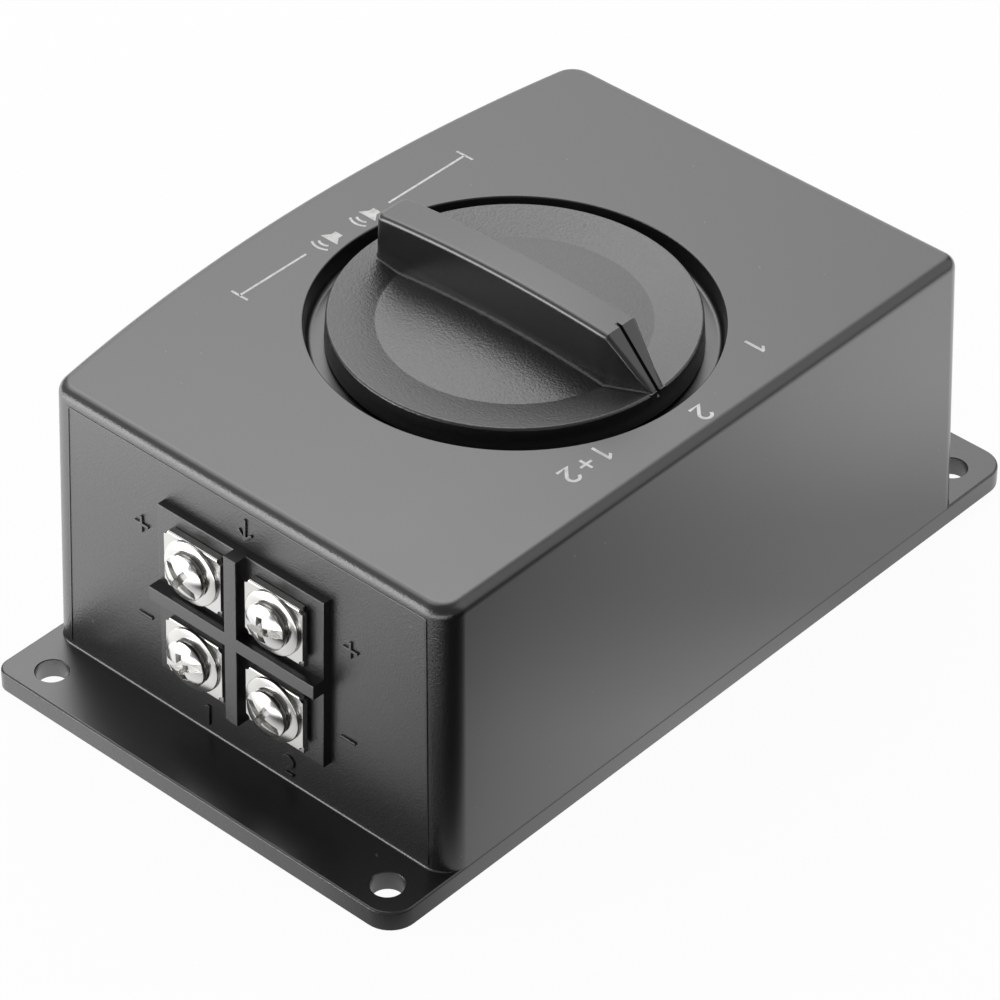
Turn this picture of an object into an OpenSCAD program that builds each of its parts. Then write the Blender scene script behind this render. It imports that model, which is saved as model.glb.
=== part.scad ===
// Three-position rotary speaker selector with screw terminals.
// Origin: centre of the four mounting holes, on the underside. X runs along the
// front terminal wall, Y from the front wall to the rear wall, Z up.

/* [Housing] */
// Width of the box along X, at the ends of the bowed wall
body_w = 66; // [60:0.5:76]
// Length of the box along Y, at its foot
body_l = 95.9; // [90:0.5:110]
// Height of the top face
body_h = 41.5; // [40:0.5:50]
// How far the bowed wall stands out in the middle
bow_rise = 4.6; // [2:0.2:6]
// How far each wall leans in over the whole height
draft_in = 1.15; // [0.8:0.05:1.4]
// Radius of the box's upright corners
corner_r = 3.4; // [2.4:0.1:4]
// Radius of the upright corner between the rear wall and the flat wall
rear_corner_r = 2.2; // [2:0.1:4]
// Radius of the edge round the top face
top_edge_r = 1.4; // [0.8:0.1:1.6]
// Wall thickness at the top of the walls
wall_t = 2.2; // [1.8:0.1:2.6]
// Thickness of the top
top_t = 2.4; // [2:0.1:3]

/* [Mounting flanges] */
// How far the front flange stands out past the box
front_flange_l = 9.4; // [9.2:0.1:12]
// How far the rear flange stands out past the box
rear_flange_l = 11.1; // [10.6:0.1:13]
// How far the flanges stand out sideways past the bowed wall's ends
flange_side = 0.95; // [0:0.05:1.5]
// Thickness of the flanges
flange_t = 2.7; // [2:0.1:3.4]
// Corner radius of the flanges at the flat wall's side
flange_corner_r = 3.7; // [1:0.1:4]
// Corner radius of the flanges at the bowed wall's side
flange_bow_r = 2; // [1:0.1:3]
// Diameter of the mounting holes
mount_hole_d = 4.2; // [3.6:0.1:5]
// Distance of the mounting holes from the box's sides
mount_side = 4.8; // [4.5:0.1:9]
// Mean distance of the mounting holes from the flanges' ends
mount_end = 5.2; // [4.7:0.1:5.4]

/* [Knob recess and well] */
// Radius of the recess at the top face
recess_r = 25.6; // [25.2:0.1:26.4]
// Depth of the recess
recess_depth = 2.8; // [2.6:0.1:3.4]
// Radius between the recess's wall and floor
recess_fillet_r = 0.7; // [0.4:0.1:1]
// Thickness of the recess's wall and floor
recess_t = 2; // [1.6:0.1:2.4]
// Diameter of the well for the bushing nut
well_d = 20; // [18:0.5:24]
// Height of the well's floor above the base
well_floor_z = 31; // [30:0.25:32]
// Thickness of the well's floor
well_floor_t = 2.2; // [1.8:0.1:2.6]

/* [Knob] */
// Radius of the knob's rim
knob_r = 22.9; // [22:0.1:23.4]
// Height of the rim above the top face
knob_rise = 0.9; // [0.4:0.02:1.2]
// Outer radius of the skirt at its foot
skirt_r = 23.1; // [22.9:0.1:23.6]
// Gap under the skirt
skirt_gap = 0.3; // [0.2:0.05:0.6]
// Radius where the sloping ring meets the domed middle
dome_r = 16.9; // [16:0.1:18]
// Height of that circle above the top face
dome_edge_z = 0; // [-0.2:0.02:0.3]
// Height of the domed middle above that circle
dome_rise = 0.95; // [0.5:0.05:1.4]
// Thickness of the knob's disc and skirt
knob_t = 1.5; // [1.2:0.1:1.8]
// Half width of the finger bar
bar_half_w = 2.7; // [2.2:0.1:3.4]
// Height of the finger bar in the middle, above the top face
bar_top = 8.05; // [6.5:0.05:10]
// Radius of the arch along the bar's top
bar_arch_r = 200; // [120:5:300]
// Distance from the axis to the bar's blunt end, at its foot
bar_tail = 21; // [20:0.1:21.5]
// How far the blunt end leans in at the top
bar_tail_lean = 0.4; // [0:0.1:1.2]
// Corner radius of the blunt end
bar_corner_r = 1.2; // [0.6:0.1:2]
// Distance from the axis to where the pointer starts
bar_nose = 16.8; // [15:0.1:18]
// Half width of the pointer's tip
tip_half_w = 1; // [0.6:0.1:1.4]
// Width of the pointer's groove
groove_w = 0.5; // [0.4:0.1:0.9]
// Depth of the pointer's groove
groove_depth = 0.5; // [0.3:0.1:0.8]
// Diameter of the knob's hub
hub_d = 11.4; // [10:0.1:12]
// Wall left between the hub's bore and the domed top
hub_roof_t = 1.4; // [1:0.1:2]
// Gap between the hub's foot and the shaft's clip
hub_gap = 0.3; // [0.2:0.05:0.6]
// Width of the spring ring round the hub
hub_ring_w = 1.8; // [1.2:0.1:2.2]
// Thickness of the spring ring
hub_ring_t = 0.4; // [0.3:0.05:0.6]

/* [Terminals] */
// Distance between terminal columns
column_pitch = 13.3; // [12.8:0.1:13.5]
// Distance between terminal rows
row_pitch = 13.1; // [12.8:0.1:13.4]
// Height of the rib between the rows
row_mid_z = 22; // [21.5:0.1:22.5]
// How far the front block sits off the middle
front_block_x = 0.6; // [0:0.1:1]
// Number of columns on the front wall
front_columns = 2; // [1:1:2]
// Number of columns on the rear wall
rear_columns = 4; // [2:1:4]
// How far the blocks stand out from the wall
block_t = 1.2; // [0.9:0.1:1.6]
// Margin of a block past the outer cells' axes, along X
block_margin_x = 6.9; // [6.5:0.1:7]
// Margin of a block past the outer cells' axes, upright
block_margin_z = 5.8; // [5.5:0.1:6]
// How far the barrier ribs stand out from the block
rib_rise = 1.75; // [1:0.05:2.4]
// Thickness of the barrier ribs
rib_t = 2; // [1.6:0.1:2.2]
// Width of the contact plates
contact_w = 8.4; // [7.6:0.2:9.2]
// Thickness of the contact plates
contact_t = 0.5; // [0.4:0.1:0.7]
// Distance from a terminal's axis down to the foot of its contact plate
contact_foot = 4.9; // [4.4:0.1:5.2]
// Outer diameter of the contact's tapped collar
collar_d = 5.2; // [4.8:0.1:5.6]
// Length of the tapped collar
collar_l = 3.2; // [2.6:0.1:3.6]
// Width of the solder tails
tail_w = 3; // [2.4:0.1:3.6]
// How far the solder tails reach back from the block's face
tail_l = 10; // [9:0.25:11]
// Width of the wire clamps
clamp_w = 9.3; // [8.8:0.1:9.6]
// Height of the wire clamps
clamp_h = 8; // [7.6:0.1:8.6]
// Thickness of the wire clamps
clamp_t = 0.7; // [0.5:0.05:0.9]
// Size of the notches in the clamps' corners
clamp_notch = 0.6; // [0.4:0.1:0.8]
// Diameter of the dished washers
washer_d = 8.6; // [7.8:0.1:8.8]
// Thickness of the dished washers
washer_t = 0.45; // [0.35:0.05:0.6]
// Diameter of the terminal screws
screw_d = 3.5; // [3:0.1:3.6]
// Length of the terminal screws under the head
screw_l = 7.5; // [6.5:0.25:8.5]
// Diameter of the terminal screws' heads
head_d = 6.1; // [5.6:0.1:6.6]
// Height of the terminal screws' heads
head_h = 1.75; // [1.5:0.05:2.2]
// Width of the slot in the heads
slot_w = 1; // [0.7:0.05:1.2]
// Depth of the slot in the heads
slot_depth = 0.8; // [0.6:0.05:1]

/* [Bottom cover] */
// Thickness of the cover
cover_t = 2; // [1.6:0.1:2.6]
// How far the cover is let in from the base
cover_inset = 0.3; // [0.2:0.05:0.6]
// Width of housing wall left round the cover
cover_rim = 1.7; // [1.5:0.1:2]
// Gap round the cover
cover_gap = 0.15; // [0.1:0.05:0.3]
// Distance of the cover screws from the middle, along X
cover_screw_x = 26.6; // [26:0.1:27]
// Distance of the cover screws from the middle, along Y
cover_screw_y = 41.4; // [41:0.1:42]
// Diameter of the screw bosses
boss_d = 6.6; // [6:0.1:7]
// Diameter of the cover screws
cover_screw_d = 2.9; // [2.5:0.1:3.2]
// Length of the cover screws
cover_screw_l = 12; // [9:0.5:14]
// Diameter of the cover screws' heads
cover_head_d = 5.4; // [5:0.1:5.8]

/* [Switch] */
// Diameter of the switch shaft
shaft_d = 6; // [5.8:0.05:6.2]
// What the flat takes off the shaft
shaft_flat = 1.5; // [1:0.1:1.8]
// Width of the shaft's blade
blade_w = 4; // [3.6:0.1:4.4]
// Thickness of the shaft's blade
blade_t = 2; // [1.6:0.1:2.4]
// Diameter of the bushing
bushing_d = 9; // [8.6:0.1:9.4]
// How far the bushing stands above the nut
bushing_proud = 0.6; // [0.3:0.1:0.8]
// Diameter of the bushing's staked flange
bushing_flange_d = 13; // [12:0.5:15]
// Thickness of the staked flange
bushing_flange_t = 1.4; // [1:0.1:1.6]
// Thickness of the lock washer
lock_washer_t = 0.6; // [0.4:0.1:0.8]
// Width across the flats of the bushing nut
nut_af = 12; // [11:0.5:13]
// Thickness of the bushing nut
nut_t = 2; // [1.6:0.1:2.2]
// Thickness of the shaft clip
clip_t = 0.5; // [0.4:0.05:0.6]
// Diameter of the shaft clip
clip_d = 8.6; // [8:0.1:9]
// Depth of the shaft clip's groove
clip_groove = 0.5; // [0.4:0.05:0.7]
// Thickness of the index plate
plate_t = 1.2; // [1:0.1:1.5]
// Distance of the tie studs from the axis, along Y
stud_y = 17; // [16.5:0.25:19]
// Diameter of the tie studs
stud_d = 3; // [2.6:0.1:3.2]
// Width of the ears round the tie studs
ear_w = 8; // [7:0.25:9]
// Outer radius of the detent ring
ring_r = 13.4; // [13:0.1:13.8]
// Inner radius of the detent ring
ring_bore_r = 11; // [10.8:0.05:11.2]
// Thickness of the detent ring's floor
ring_floor_t = 1; // [0.8:0.1:1.4]
// Angle from one knob position to the next
step_angle = 30; // [30:15:30]
// Depth of the detent notches
notch_depth = 0.35; // [0.25:0.05:0.45]
// Diameter of the detent balls
ball_d = 3; // [2.8:0.1:3.2]
// Height of the detent rotor
rotor_h = 4.8; // [4.6:0.1:5]
// Thickness of the wafers
wafer_t = 1.6; // [1.2:0.1:2]
// Radius of the wafers
wafer_r = 15.5; // [15:0.1:16]
// Radius of the hole in the wafers
wafer_bore_r = 7; // [6.6:0.1:7.4]
// Length of the upper spacers
upper_gap = 4; // [3.6:0.1:4.4]
// Length of the lower spacers
lower_gap = 4.4; // [4:0.1:4.8]
// Thickness of the contact clips
clip_strip_t = 0.4; // [0.3:0.05:0.5]
// Width of the contact clips
clip_strip_w = 2; // [1.6:0.1:2.4]
// Distance from the axis to the end of the solder lugs
lug_r = 18.5; // [17.5:0.25:19.5]
// Thickness of the tie nuts
tie_nut_t = 2.4; // [2:0.1:2.6]
// Width across the flats of the tie nuts
tie_nut_af = 5.5; // [5:0.1:6]

/* [Wiring] */
// Diameter of the insulated wires
lead_d = 1.6; // [1.2:0.1:1.8]

/* [Fits] */
// Clearance all round a piece that turns in another
run_fit = 0.06; // [0.03:0.01:0.08]
// Clearance all round a piece that is fixed in another
fixed_fit = 0.03; // [0.02:0.01:0.06]
// Clearance all round a piece that drops through a hole
loose_fit = 0.2; // [0.12:0.02:0.3]

/* [Hidden] */

fine = 96;        // facets of a large round
smooth = 48;      // facets of a small round
sliver = 0.01;    // thickness of one layer of the box's hull
reach = 1;        // how far a cutter passes its surface
corner_steps = 8; // steps round an upright corner
bow_steps = 28;   // steps along the bowed wall
edge_steps = 6;   // steps over the top edge

mount_pitch_x = body_w - 2 * mount_side;
mount_pitch_y = body_l + front_flange_l + rear_flange_l - 2 * mount_end;

// Heights of the switch, from the well's floor down
plate_top = well_floor_z - well_floor_t;
plate_z = plate_top - plate_t;
rotor_gap = 0.3;
rotor_z = plate_z - bushing_flange_t - rotor_gap - rotor_h;
ring_z = rotor_z - rotor_gap - ring_floor_t;
ring_h = plate_z - ring_z;
upper_wafer_z = ring_z - upper_gap - wafer_t;
lower_wafer_z = upper_wafer_z - lower_gap - wafer_t;
nut_top = well_floor_z + lock_washer_t + nut_t;
bushing_top = nut_top + bushing_proud;
clip_z = bushing_top + run_fit;
hub_z = clip_z + clip_t + hub_gap;
shaft_top = body_h + dome_edge_z + dome_rise - hub_roof_t - fixed_fit;
blade_z = lower_wafer_z - 1;
stud_foot = lower_wafer_z - tie_nut_t - 0.6;

wall_lean = atan(draft_in / body_h);
bow_r = (pow(body_l / 2, 2) + pow(bow_rise, 2)) / (2 * bow_rise);
bow_x = -body_w / 2 - bow_rise + bow_r;
skirt_z = body_h - recess_depth + skirt_gap;
recess_floor_z = body_h - recess_depth;

// ---------------------------------------------------------------- outlines

// Points of an arc about [x, y]
function arc(x, y, r, a0, a1, steps) =
    [for (i = [0:steps]) [x + r * cos(a0 + (a1 - a0) * i / steps),
                          y + r * sin(a0 + (a1 - a0) * i / steps)]];

// Plan of the box moved in by lean, with its edge moved in by a further edge
function box_outline(lean, edge) =
    let (r = corner_r - edge,
         cx = body_w / 2 - lean - corner_r,
         cy = body_l / 2 - lean - corner_r,
         in_r = lean + rear_corner_r,
         reach_r = bow_r - lean - corner_r,
         bx = bow_x - sqrt(reach_r * reach_r - cy * cy),
         turn = asin(cy / reach_r))
    concat(
        arc(cx, -cy, r, -90, 0, corner_steps),
        arc(body_w / 2 - in_r, body_l / 2 - in_r, rear_corner_r - edge, 0, 90, corner_steps),
        arc(bx, cy, r, 90, 180 - turn, corner_steps),
        arc(bow_x, 0, bow_r - lean - edge, 180 - turn + 0.3, 180 + turn - 0.3, bow_steps),
        arc(bx, -cy, r, 180 + turn, 270, corner_steps));

// One thin layer of the box, its top at height z
module box_layer(z, lean, edge) {
    translate([0, 0, z - sliver]) linear_extrude(sliver) polygon(box_outline(lean, edge));
}

// Plate under the box that ends in both flanges
module flange_plate() {
    x0 = -body_w / 2 - flange_side + flange_bow_r;
    x1 = body_w / 2 - flange_corner_r;
    y0 = -body_l / 2 - front_flange_l;
    y1 = body_l / 2 + rear_flange_l;
    linear_extrude(flange_t) polygon(concat(
        arc(x1, y0 + flange_corner_r, flange_corner_r, -90, 0, corner_steps),
        arc(x1, y1 - flange_corner_r, flange_corner_r, 0, 90, corner_steps),
        arc(x0, y1 - flange_bow_r, flange_bow_r, 90, 180, corner_steps),
        arc(x0, y0 + flange_bow_r, flange_bow_r, 180, 270, corner_steps)));
}

module ring_solid(r_out, r_in, h) {
    difference() {
        cylinder(h = h, r = r_out, $fn = fine);
        translate([0, 0, -reach]) cylinder(h = h + 2 * reach, r = r_in, $fn = fine);
    }
}

module hex_nut(af, h, bore_r) {
    difference() {
        cylinder(h = h, r = af / sqrt(3), $fn = 6);
        translate([0, 0, -reach]) cylinder(h = h + 2 * reach, r = bore_r, $fn = smooth);
    }
}

module at_studs() {
    for (s = [-1, 1]) translate([0, s * stud_y, 0]) children();
}

// ----------------------------------------------------------------- housing

module box_skin() {
    hull() {
        box_layer(sliver, 0, 0);
        for (i = [0:edge_steps]) {
            a = 90 * i / edge_steps;
            z = body_h - top_edge_r + top_edge_r * sin(a);
            box_layer(z, draft_in * (body_h - top_edge_r) / body_h, top_edge_r * (1 - cos(a)));
        }
    }
}

module recess_cut() {
    f = recess_fillet_r;
    floor_r = recess_r - 0.3;
    rotate_extrude($fn = fine) polygon(concat(
        [[0, recess_floor_z]],
        arc(floor_r - f, recess_floor_z + f, f, -90, 0, 8),
        [[recess_r, body_h], [recess_r, body_h + reach], [0, body_h + reach]]));
}

// Places a piece on an end wall: X along the wall, Y up it, Z out of it
module on_wall(rear) {
    rotate([0, 0, rear ? 180 : 0])
        translate([0, -body_l / 2, 0])
            rotate([90 - wall_lean, 0, 0])
                children();
}

function block_x(rear) = rear ? 0 : front_block_x;
function block_columns(rear) = rear ? rear_columns : front_columns;
function block_w(rear) = (block_columns(rear) - 1) * column_pitch + 2 * block_margin_x;
function column_x(rear, i) = block_x(rear) + (i - (block_columns(rear) - 1) / 2) * column_pitch;
block_h = row_pitch + 2 * block_margin_z;

// Places a piece on the block's face at every terminal
module at_terminals(rear) {
    for (i = [0:block_columns(rear) - 1], s = [-1, 1])
        on_wall(rear) translate([column_x(rear, i), row_mid_z + s * row_pitch / 2, block_t]) children();
}

module terminal_block(rear) {
    w = block_w(rear);
    on_wall(rear) translate([block_x(rear), row_mid_z, 0]) {
        translate([-w / 2, -block_h / 2, -wall_t]) cube([w, block_h, wall_t + block_t]);
        translate([-w / 2, -rib_t / 2, 0]) cube([w, rib_t, block_t + rib_rise]);
        for (i = [0:block_columns(rear) - 2])
            translate([column_x(rear, i) - block_x(rear) + column_pitch / 2 - rib_t / 2, -block_h / 2, 0])
                cube([rib_t, block_h, block_t + rib_rise]);
    }
}

tail_t = contact_t;
tail_y = -contact_foot + tail_t / 2; // height of a tail's middle, from its terminal

module terminal_cuts(rear) {
    at_terminals(rear) {
        translate([0, 0, -collar_l - reach - wall_t])
            cylinder(h = collar_l + wall_t + 2 * reach, r = collar_d / 2 + loose_fit, $fn = smooth);
        translate([-tail_w / 2 - loose_fit, tail_y - tail_t / 2 - loose_fit, -tail_l])
            cube([tail_w + 2 * loose_fit, tail_t + 2 * loose_fit, tail_l + reach]);
    }
}

module at_cover_screws() {
    for (sx = [-1, 1], sy = [-1, 1]) translate([sx * cover_screw_x, sy * cover_screw_y, 0]) children();
}

module at_mount_holes() {
    for (sx = [-1, 1], sy = [-1, 1])
        translate([sx * mount_pitch_x / 2, sy * mount_pitch_y / 2, 0]) children();
}

locate_r = 8.2;     // distance of the index plate's lug from the axis
locate_d = 2.4;     // diameter of that lug
locate_rise = 1.7;  // how far that lug reaches into the well's floor
cavity_top = body_h - top_t;
cover_top = cover_inset + cover_t;

module housing() {
    color("#2c2c2e") difference() {
        union() {
            difference() {
                union() {
                    box_skin();
                    flange_plate();
                }
                translate([0, 0, cover_top])
                    linear_extrude(cavity_top - cover_top) polygon(box_outline(draft_in + wall_t, 0));
                translate([0, 0, -reach])
                    linear_extrude(cover_top + reach) polygon(box_outline(cover_rim, 0));
            }
            translate([0, 0, recess_floor_z - recess_t])
                cylinder(h = cavity_top - recess_floor_z + recess_t, r = recess_r + recess_t, $fn = fine);
            translate([0, 0, plate_top])
                cylinder(h = recess_floor_z - plate_top, d = well_d + 2 * well_floor_t, $fn = fine);
            at_cover_screws() translate([0, 0, cover_top])
                cylinder(h = cavity_top - cover_top, d = boss_d, $fn = smooth);
            terminal_block(false);
            terminal_block(true);
        }
        recess_cut();
        translate([0, 0, well_floor_z]) cylinder(h = body_h, d = well_d, $fn = fine);
        translate([0, 0, plate_top - reach])
            cylinder(h = well_floor_t + 2 * reach, r = bushing_d / 2 + loose_fit / 2, $fn = fine);
        translate([locate_r, 0, plate_top - reach])
            cylinder(h = well_floor_t + 2 * reach, r = locate_d / 2 + loose_fit / 2, $fn = smooth);
        terminal_cuts(false);
        terminal_cuts(true);
        at_cover_screws() translate([0, 0, cover_top - reach])
            cylinder(h = cover_screw_l, r = cover_screw_d / 2 + fixed_fit, $fn = smooth);
        at_mount_holes() translate([0, 0, -reach])
            cylinder(h = flange_t + 2 * reach, d = mount_hole_d, $fn = smooth);
    }
}

cover_head_h = (cover_head_d - cover_screw_d) / 2;
cover_tip_l = 1.5;    // length of a cover screw's point
cross_w = 0.6;        // width of the cross in a cover screw's head
cross_l = 2.8;        // length of each arm pair of that cross
cross_depth = 0.9;    // depth of that cross

module bottom_cover() {
    color("#3a3a3c") difference() {
        translate([0, 0, cover_inset]) linear_extrude(cover_t) polygon(box_outline(cover_rim + cover_gap, 0));
        at_cover_screws() {
            translate([0, 0, -reach])
                cylinder(h = cover_top + 2 * reach, r = cover_screw_d / 2 + loose_fit, $fn = smooth);
            translate([0, 0, cover_inset])
                cylinder(h = cover_head_h, r1 = cover_head_d / 2 + fixed_fit,
                         r2 = cover_screw_d / 2 + fixed_fit, $fn = smooth);
        }
    }
}

module cover_screws() {
    color("silver") at_cover_screws() translate([0, 0, cover_inset]) difference() {
        union() {
            cylinder(h = cover_head_h, d1 = cover_head_d, d2 = cover_screw_d, $fn = smooth);
            cylinder(h = cover_screw_l - cover_tip_l, d = cover_screw_d, $fn = smooth);
            translate([0, 0, cover_screw_l - cover_tip_l])
                cylinder(h = cover_tip_l, d1 = cover_screw_d, d2 = cover_screw_d / 5, $fn = smooth);
        }
        for (a = [0, 90]) rotate([0, 0, a])
            translate([-cross_l / 2, -cross_w / 2, -reach]) cube([cross_l, cross_w, reach + cross_depth]);
    }
}

// -------------------------------------------------------------------- knob

dome_sphere_r = (dome_r * dome_r + dome_rise * dome_rise) / (2 * dome_rise);
dome_steps = 12;
rim_soft = 0.35;        // radius of the rim's edge
tip_x = knob_r - 0.1;   // pointer's tip, just inside the rim

module knob_disc() {
    rim_z = body_h + knob_rise;
    edge_z = body_h + dome_edge_z;
    dome_cz = edge_z + dome_rise - dome_sphere_r;
    dome_turn = asin(dome_r / dome_sphere_r);
    rotate_extrude($fn = fine) polygon(concat(
        [[0, edge_z - knob_t]],
        [[skirt_r - knob_t, edge_z - knob_t], [skirt_r - knob_t, skirt_z], [skirt_r, skirt_z]],
        arc(knob_r - rim_soft, rim_z - rim_soft, rim_soft, 0, 90, 4),
        arc(0, dome_cz, dome_sphere_r, 90 - dome_turn, 90, dome_steps)));
}

module bar_plan() {
    r = bar_corner_r;
    w = bar_half_w;
    polygon(concat(
        [[bar_nose, -w], [tip_x, -tip_half_w], [tip_x, tip_half_w], [bar_nose, w]],
        arc(-bar_tail + r, w - r, r, 90, 180, 6),
        arc(-bar_tail + r, -w + r, r, 180, 270, 6)));
}

// Side view of the bar: leaning blunt end, arched top, sloping pointer
module bar_side() {
    foot = body_h + dome_edge_z - knob_t;
    top = body_h + bar_top;
    tail_top_x = -bar_tail + bar_tail_lean;
    a0 = asin(bar_nose / bar_arch_r);
    a1 = asin(-tail_top_x / bar_arch_r);
    polygon(concat(
        [[-bar_tail, foot], [tip_x, foot], [tip_x, body_h + knob_rise]],
        arc(0, top - bar_arch_r, bar_arch_r, 90 - a0, 90 + a1, 16)));
}

module pointer_groove() {
    nose_z = body_h + bar_top - bar_nose * bar_nose / (2 * bar_arch_r);
    fall = nose_z - body_h - knob_rise;
    run = tip_x - bar_nose;
    translate([bar_nose, 0, nose_z]) rotate([0, atan(fall / run), 0])
        translate([-reach, -groove_w / 2, -groove_depth])
            cube([2 * reach + norm([run, fall]), groove_w, groove_depth + reach]);
}

module shaft_bore(h, fit) {
    difference() {
        cylinder(h = h, r = shaft_d / 2 + fit, $fn = smooth);
        translate([shaft_d / 2 - shaft_flat + fit, -shaft_d, -reach])
            cube([shaft_d, 2 * shaft_d, h + 2 * reach]);
    }
}

ring_seat_z = hub_z + 1; // foot of the spring ring's groove
ring_split = 1.6;        // gap between the spring ring's ends

module knob() {
    bore_top = shaft_top + fixed_fit;
    color("#3b3b3d") difference() {
        union() {
            knob_disc();
            translate([0, 0, hub_z]) cylinder(h = body_h - hub_z, d = hub_d, $fn = smooth);
            intersection() {
                linear_extrude(body_h + bar_top + reach) bar_plan();
                translate([0, bar_half_w + reach, 0]) rotate([90, 0, 0])
                    linear_extrude(2 * bar_half_w + 2 * reach) bar_side();
            }
        }
        pointer_groove();
        translate([0, 0, hub_z - reach]) shaft_bore(bore_top - hub_z + reach, fixed_fit);
        translate([0, 0, ring_seat_z])
            ring_solid(hub_d / 2 + reach, hub_d / 2 - hub_ring_t - fixed_fit, hub_ring_w + 2 * fixed_fit);
    }
}

module knob_spring_ring() {
    color("silver") translate([0, 0, ring_seat_z + fixed_fit]) difference() {
        ring_solid(hub_d / 2, hub_d / 2 - hub_ring_t, hub_ring_w);
        translate([-hub_d, -ring_split / 2, -reach]) cube([hub_d, ring_split, hub_ring_w + 2 * reach]);
    }
}

// ------------------------------------------------------------ shaft and nut

chamfer = 0.4;   // chamfer on the shaft's and the bushing's top
clip_split = 3.2; // opening of the shaft clip

module switch_shaft() {
    color("silver") difference() {
        union() {
            translate([0, 0, rotor_z]) cylinder(h = shaft_top - rotor_z - chamfer, d = shaft_d, $fn = smooth);
            translate([0, 0, shaft_top - chamfer])
                cylinder(h = chamfer, d1 = shaft_d, d2 = shaft_d - 2 * chamfer, $fn = smooth);
            translate([-blade_w / 2, -blade_t / 2, blade_z])
                cube([blade_w, blade_t, rotor_z - blade_z + sliver]);
        }
        translate([shaft_d / 2 - shaft_flat, -shaft_d, hub_z - hub_gap])
            cube([shaft_d, 2 * shaft_d, shaft_top]);
        translate([0, 0, clip_z - fixed_fit])
            ring_solid(shaft_d, shaft_d / 2 - clip_groove, clip_t + 2 * fixed_fit);
    }
}

module shaft_clip() {
    color("dimgray") translate([0, 0, clip_z]) difference() {
        ring_solid(clip_d / 2, shaft_d / 2 - clip_groove + fixed_fit, clip_t);
        translate([0, -clip_split / 2, -reach]) cube([clip_d, clip_split, clip_t + 2 * reach]);
    }
}

module switch_bushing() {
    color("goldenrod") difference() {
        union() {
            translate([0, 0, plate_z])
                cylinder(h = bushing_top - plate_z - chamfer, d = bushing_d, $fn = fine);
            translate([0, 0, bushing_top - chamfer])
                cylinder(h = chamfer, d1 = bushing_d, d2 = bushing_d - 2 * chamfer, $fn = fine);
            translate([0, 0, plate_z - bushing_flange_t])
                cylinder(h = bushing_flange_t, d = bushing_flange_d, $fn = fine);
        }
        translate([0, 0, plate_z - bushing_flange_t - reach])
            cylinder(h = bushing_top - plate_z + bushing_flange_t + 2 * reach,
                r = shaft_d / 2 + run_fit, $fn = smooth);
    }
}

// Washer with internal teeth between small round notches
module lock_washer() {
    tooth = 0.5;
    margin = 0.6;
    r = bushing_d / 2 + fixed_fit;
    color("silver") translate([0, 0, well_floor_z]) difference() {
        cylinder(h = lock_washer_t, r = nut_af / 2 + margin, $fn = fine);
        translate([0, 0, -reach]) cylinder(h = lock_washer_t + 2 * reach, r = r, $fn = fine);
        for (a = [0:30:330]) rotate([0, 0, a]) translate([r, 0, -reach])
            cylinder(h = lock_washer_t + 2 * reach, r = tooth, $fn = smooth);
    }
}

module bushing_nut() {
    color("silver") translate([0, 0, well_floor_z + lock_washer_t])
        hex_nut(nut_af, nut_t, bushing_d / 2 + fixed_fit);
}

// ----------------------------------------------------------- switch stator

module ear_shape() {
    square([ear_w, 2 * stud_y], center = true);
    for (s = [-1, 1]) translate([0, s * stud_y]) circle(d = ear_w, $fn = smooth);
}

module stud_holes(h) {
    at_studs() translate([0, 0, -reach]) cylinder(h = h + 2 * reach, r = stud_d / 2 + fixed_fit, $fn = smooth);
}

module index_plate() {
    color("silver") translate([0, 0, plate_z]) difference() {
        union() {
            linear_extrude(plate_t) union() {
                circle(ring_r, $fn = fine);
                ear_shape();
            }
            translate([locate_r, 0, 0]) cylinder(h = plate_t + locate_rise, d = locate_d, $fn = smooth);
        }
        translate([0, 0, -reach]) cylinder(h = plate_t + 2 * reach, r = bushing_d / 2 + fixed_fit, $fn = fine);
        stud_holes(plate_t);
    }
}

tab_w = 3;      // width of the rotor's stop tab
tab_l = 1.6;    // how far the tab stands out from the rotor
tab_h = 0.9;    // height of the tab
tab_gap = 0.15; // gap under the tab
tab_end_gap = 0.4; // gap past the tab's end
stop_play = 1;  // degrees of play at each stop
rotor_r = ring_bore_r - 0.6;
tab_r = rotor_r + tab_l;
stop_angle = step_angle + asin(tab_w / 2 / tab_r) + stop_play;
window_z = rotor_z + rotor_h - tab_h - tab_gap;

// Ring with a notch at every step, and a window whose ends stop the rotor's tab
module detent_ring() {
    notches = round(360 / step_angle);
    notch_r = ball_d / 2 + 0.1;
    color("ivory") translate([0, 0, ring_z]) difference() {
        linear_extrude(ring_h) union() {
            circle(ring_r, $fn = fine);
            ear_shape();
        }
        translate([0, 0, ring_floor_t]) cylinder(h = ring_h, r = ring_bore_r, $fn = fine);
        translate([0, 0, -reach]) cylinder(h = ring_floor_t + 2 * reach, r = wafer_bore_r, $fn = fine);
        for (i = [0:notches - 1]) rotate([0, 0, i * step_angle])
            translate([ring_bore_r + notch_depth - notch_r, 0, ring_floor_t])
                cylinder(h = ring_h, r = notch_r, $fn = smooth);
        translate([0, 0, window_z - ring_z]) rotate([0, 0, 180 - stop_angle])
            rotate_extrude(angle = 2 * stop_angle, $fn = fine)
                translate([rotor_r, 0]) square([tab_l + tab_end_gap, ring_h]);
        stud_holes(ring_h);
    }
}

land_gap = 0.05;     // gap between a ball and the lands between the notches
pocket_wall = 1;     // wall between the shaft and a spring's pocket
pocket_floor = 0.5;  // wall under a spring's pocket
ball_mid_r = ring_bore_r - land_gap - ball_d / 2;
pocket_r0 = shaft_d / 2 + pocket_wall;
ball_z = rotor_z + ball_d / 2 + pocket_floor;

module at_balls() {
    for (a = [0, 180]) rotate([0, 0, a]) translate([0, 0, ball_z]) children();
}

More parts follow.
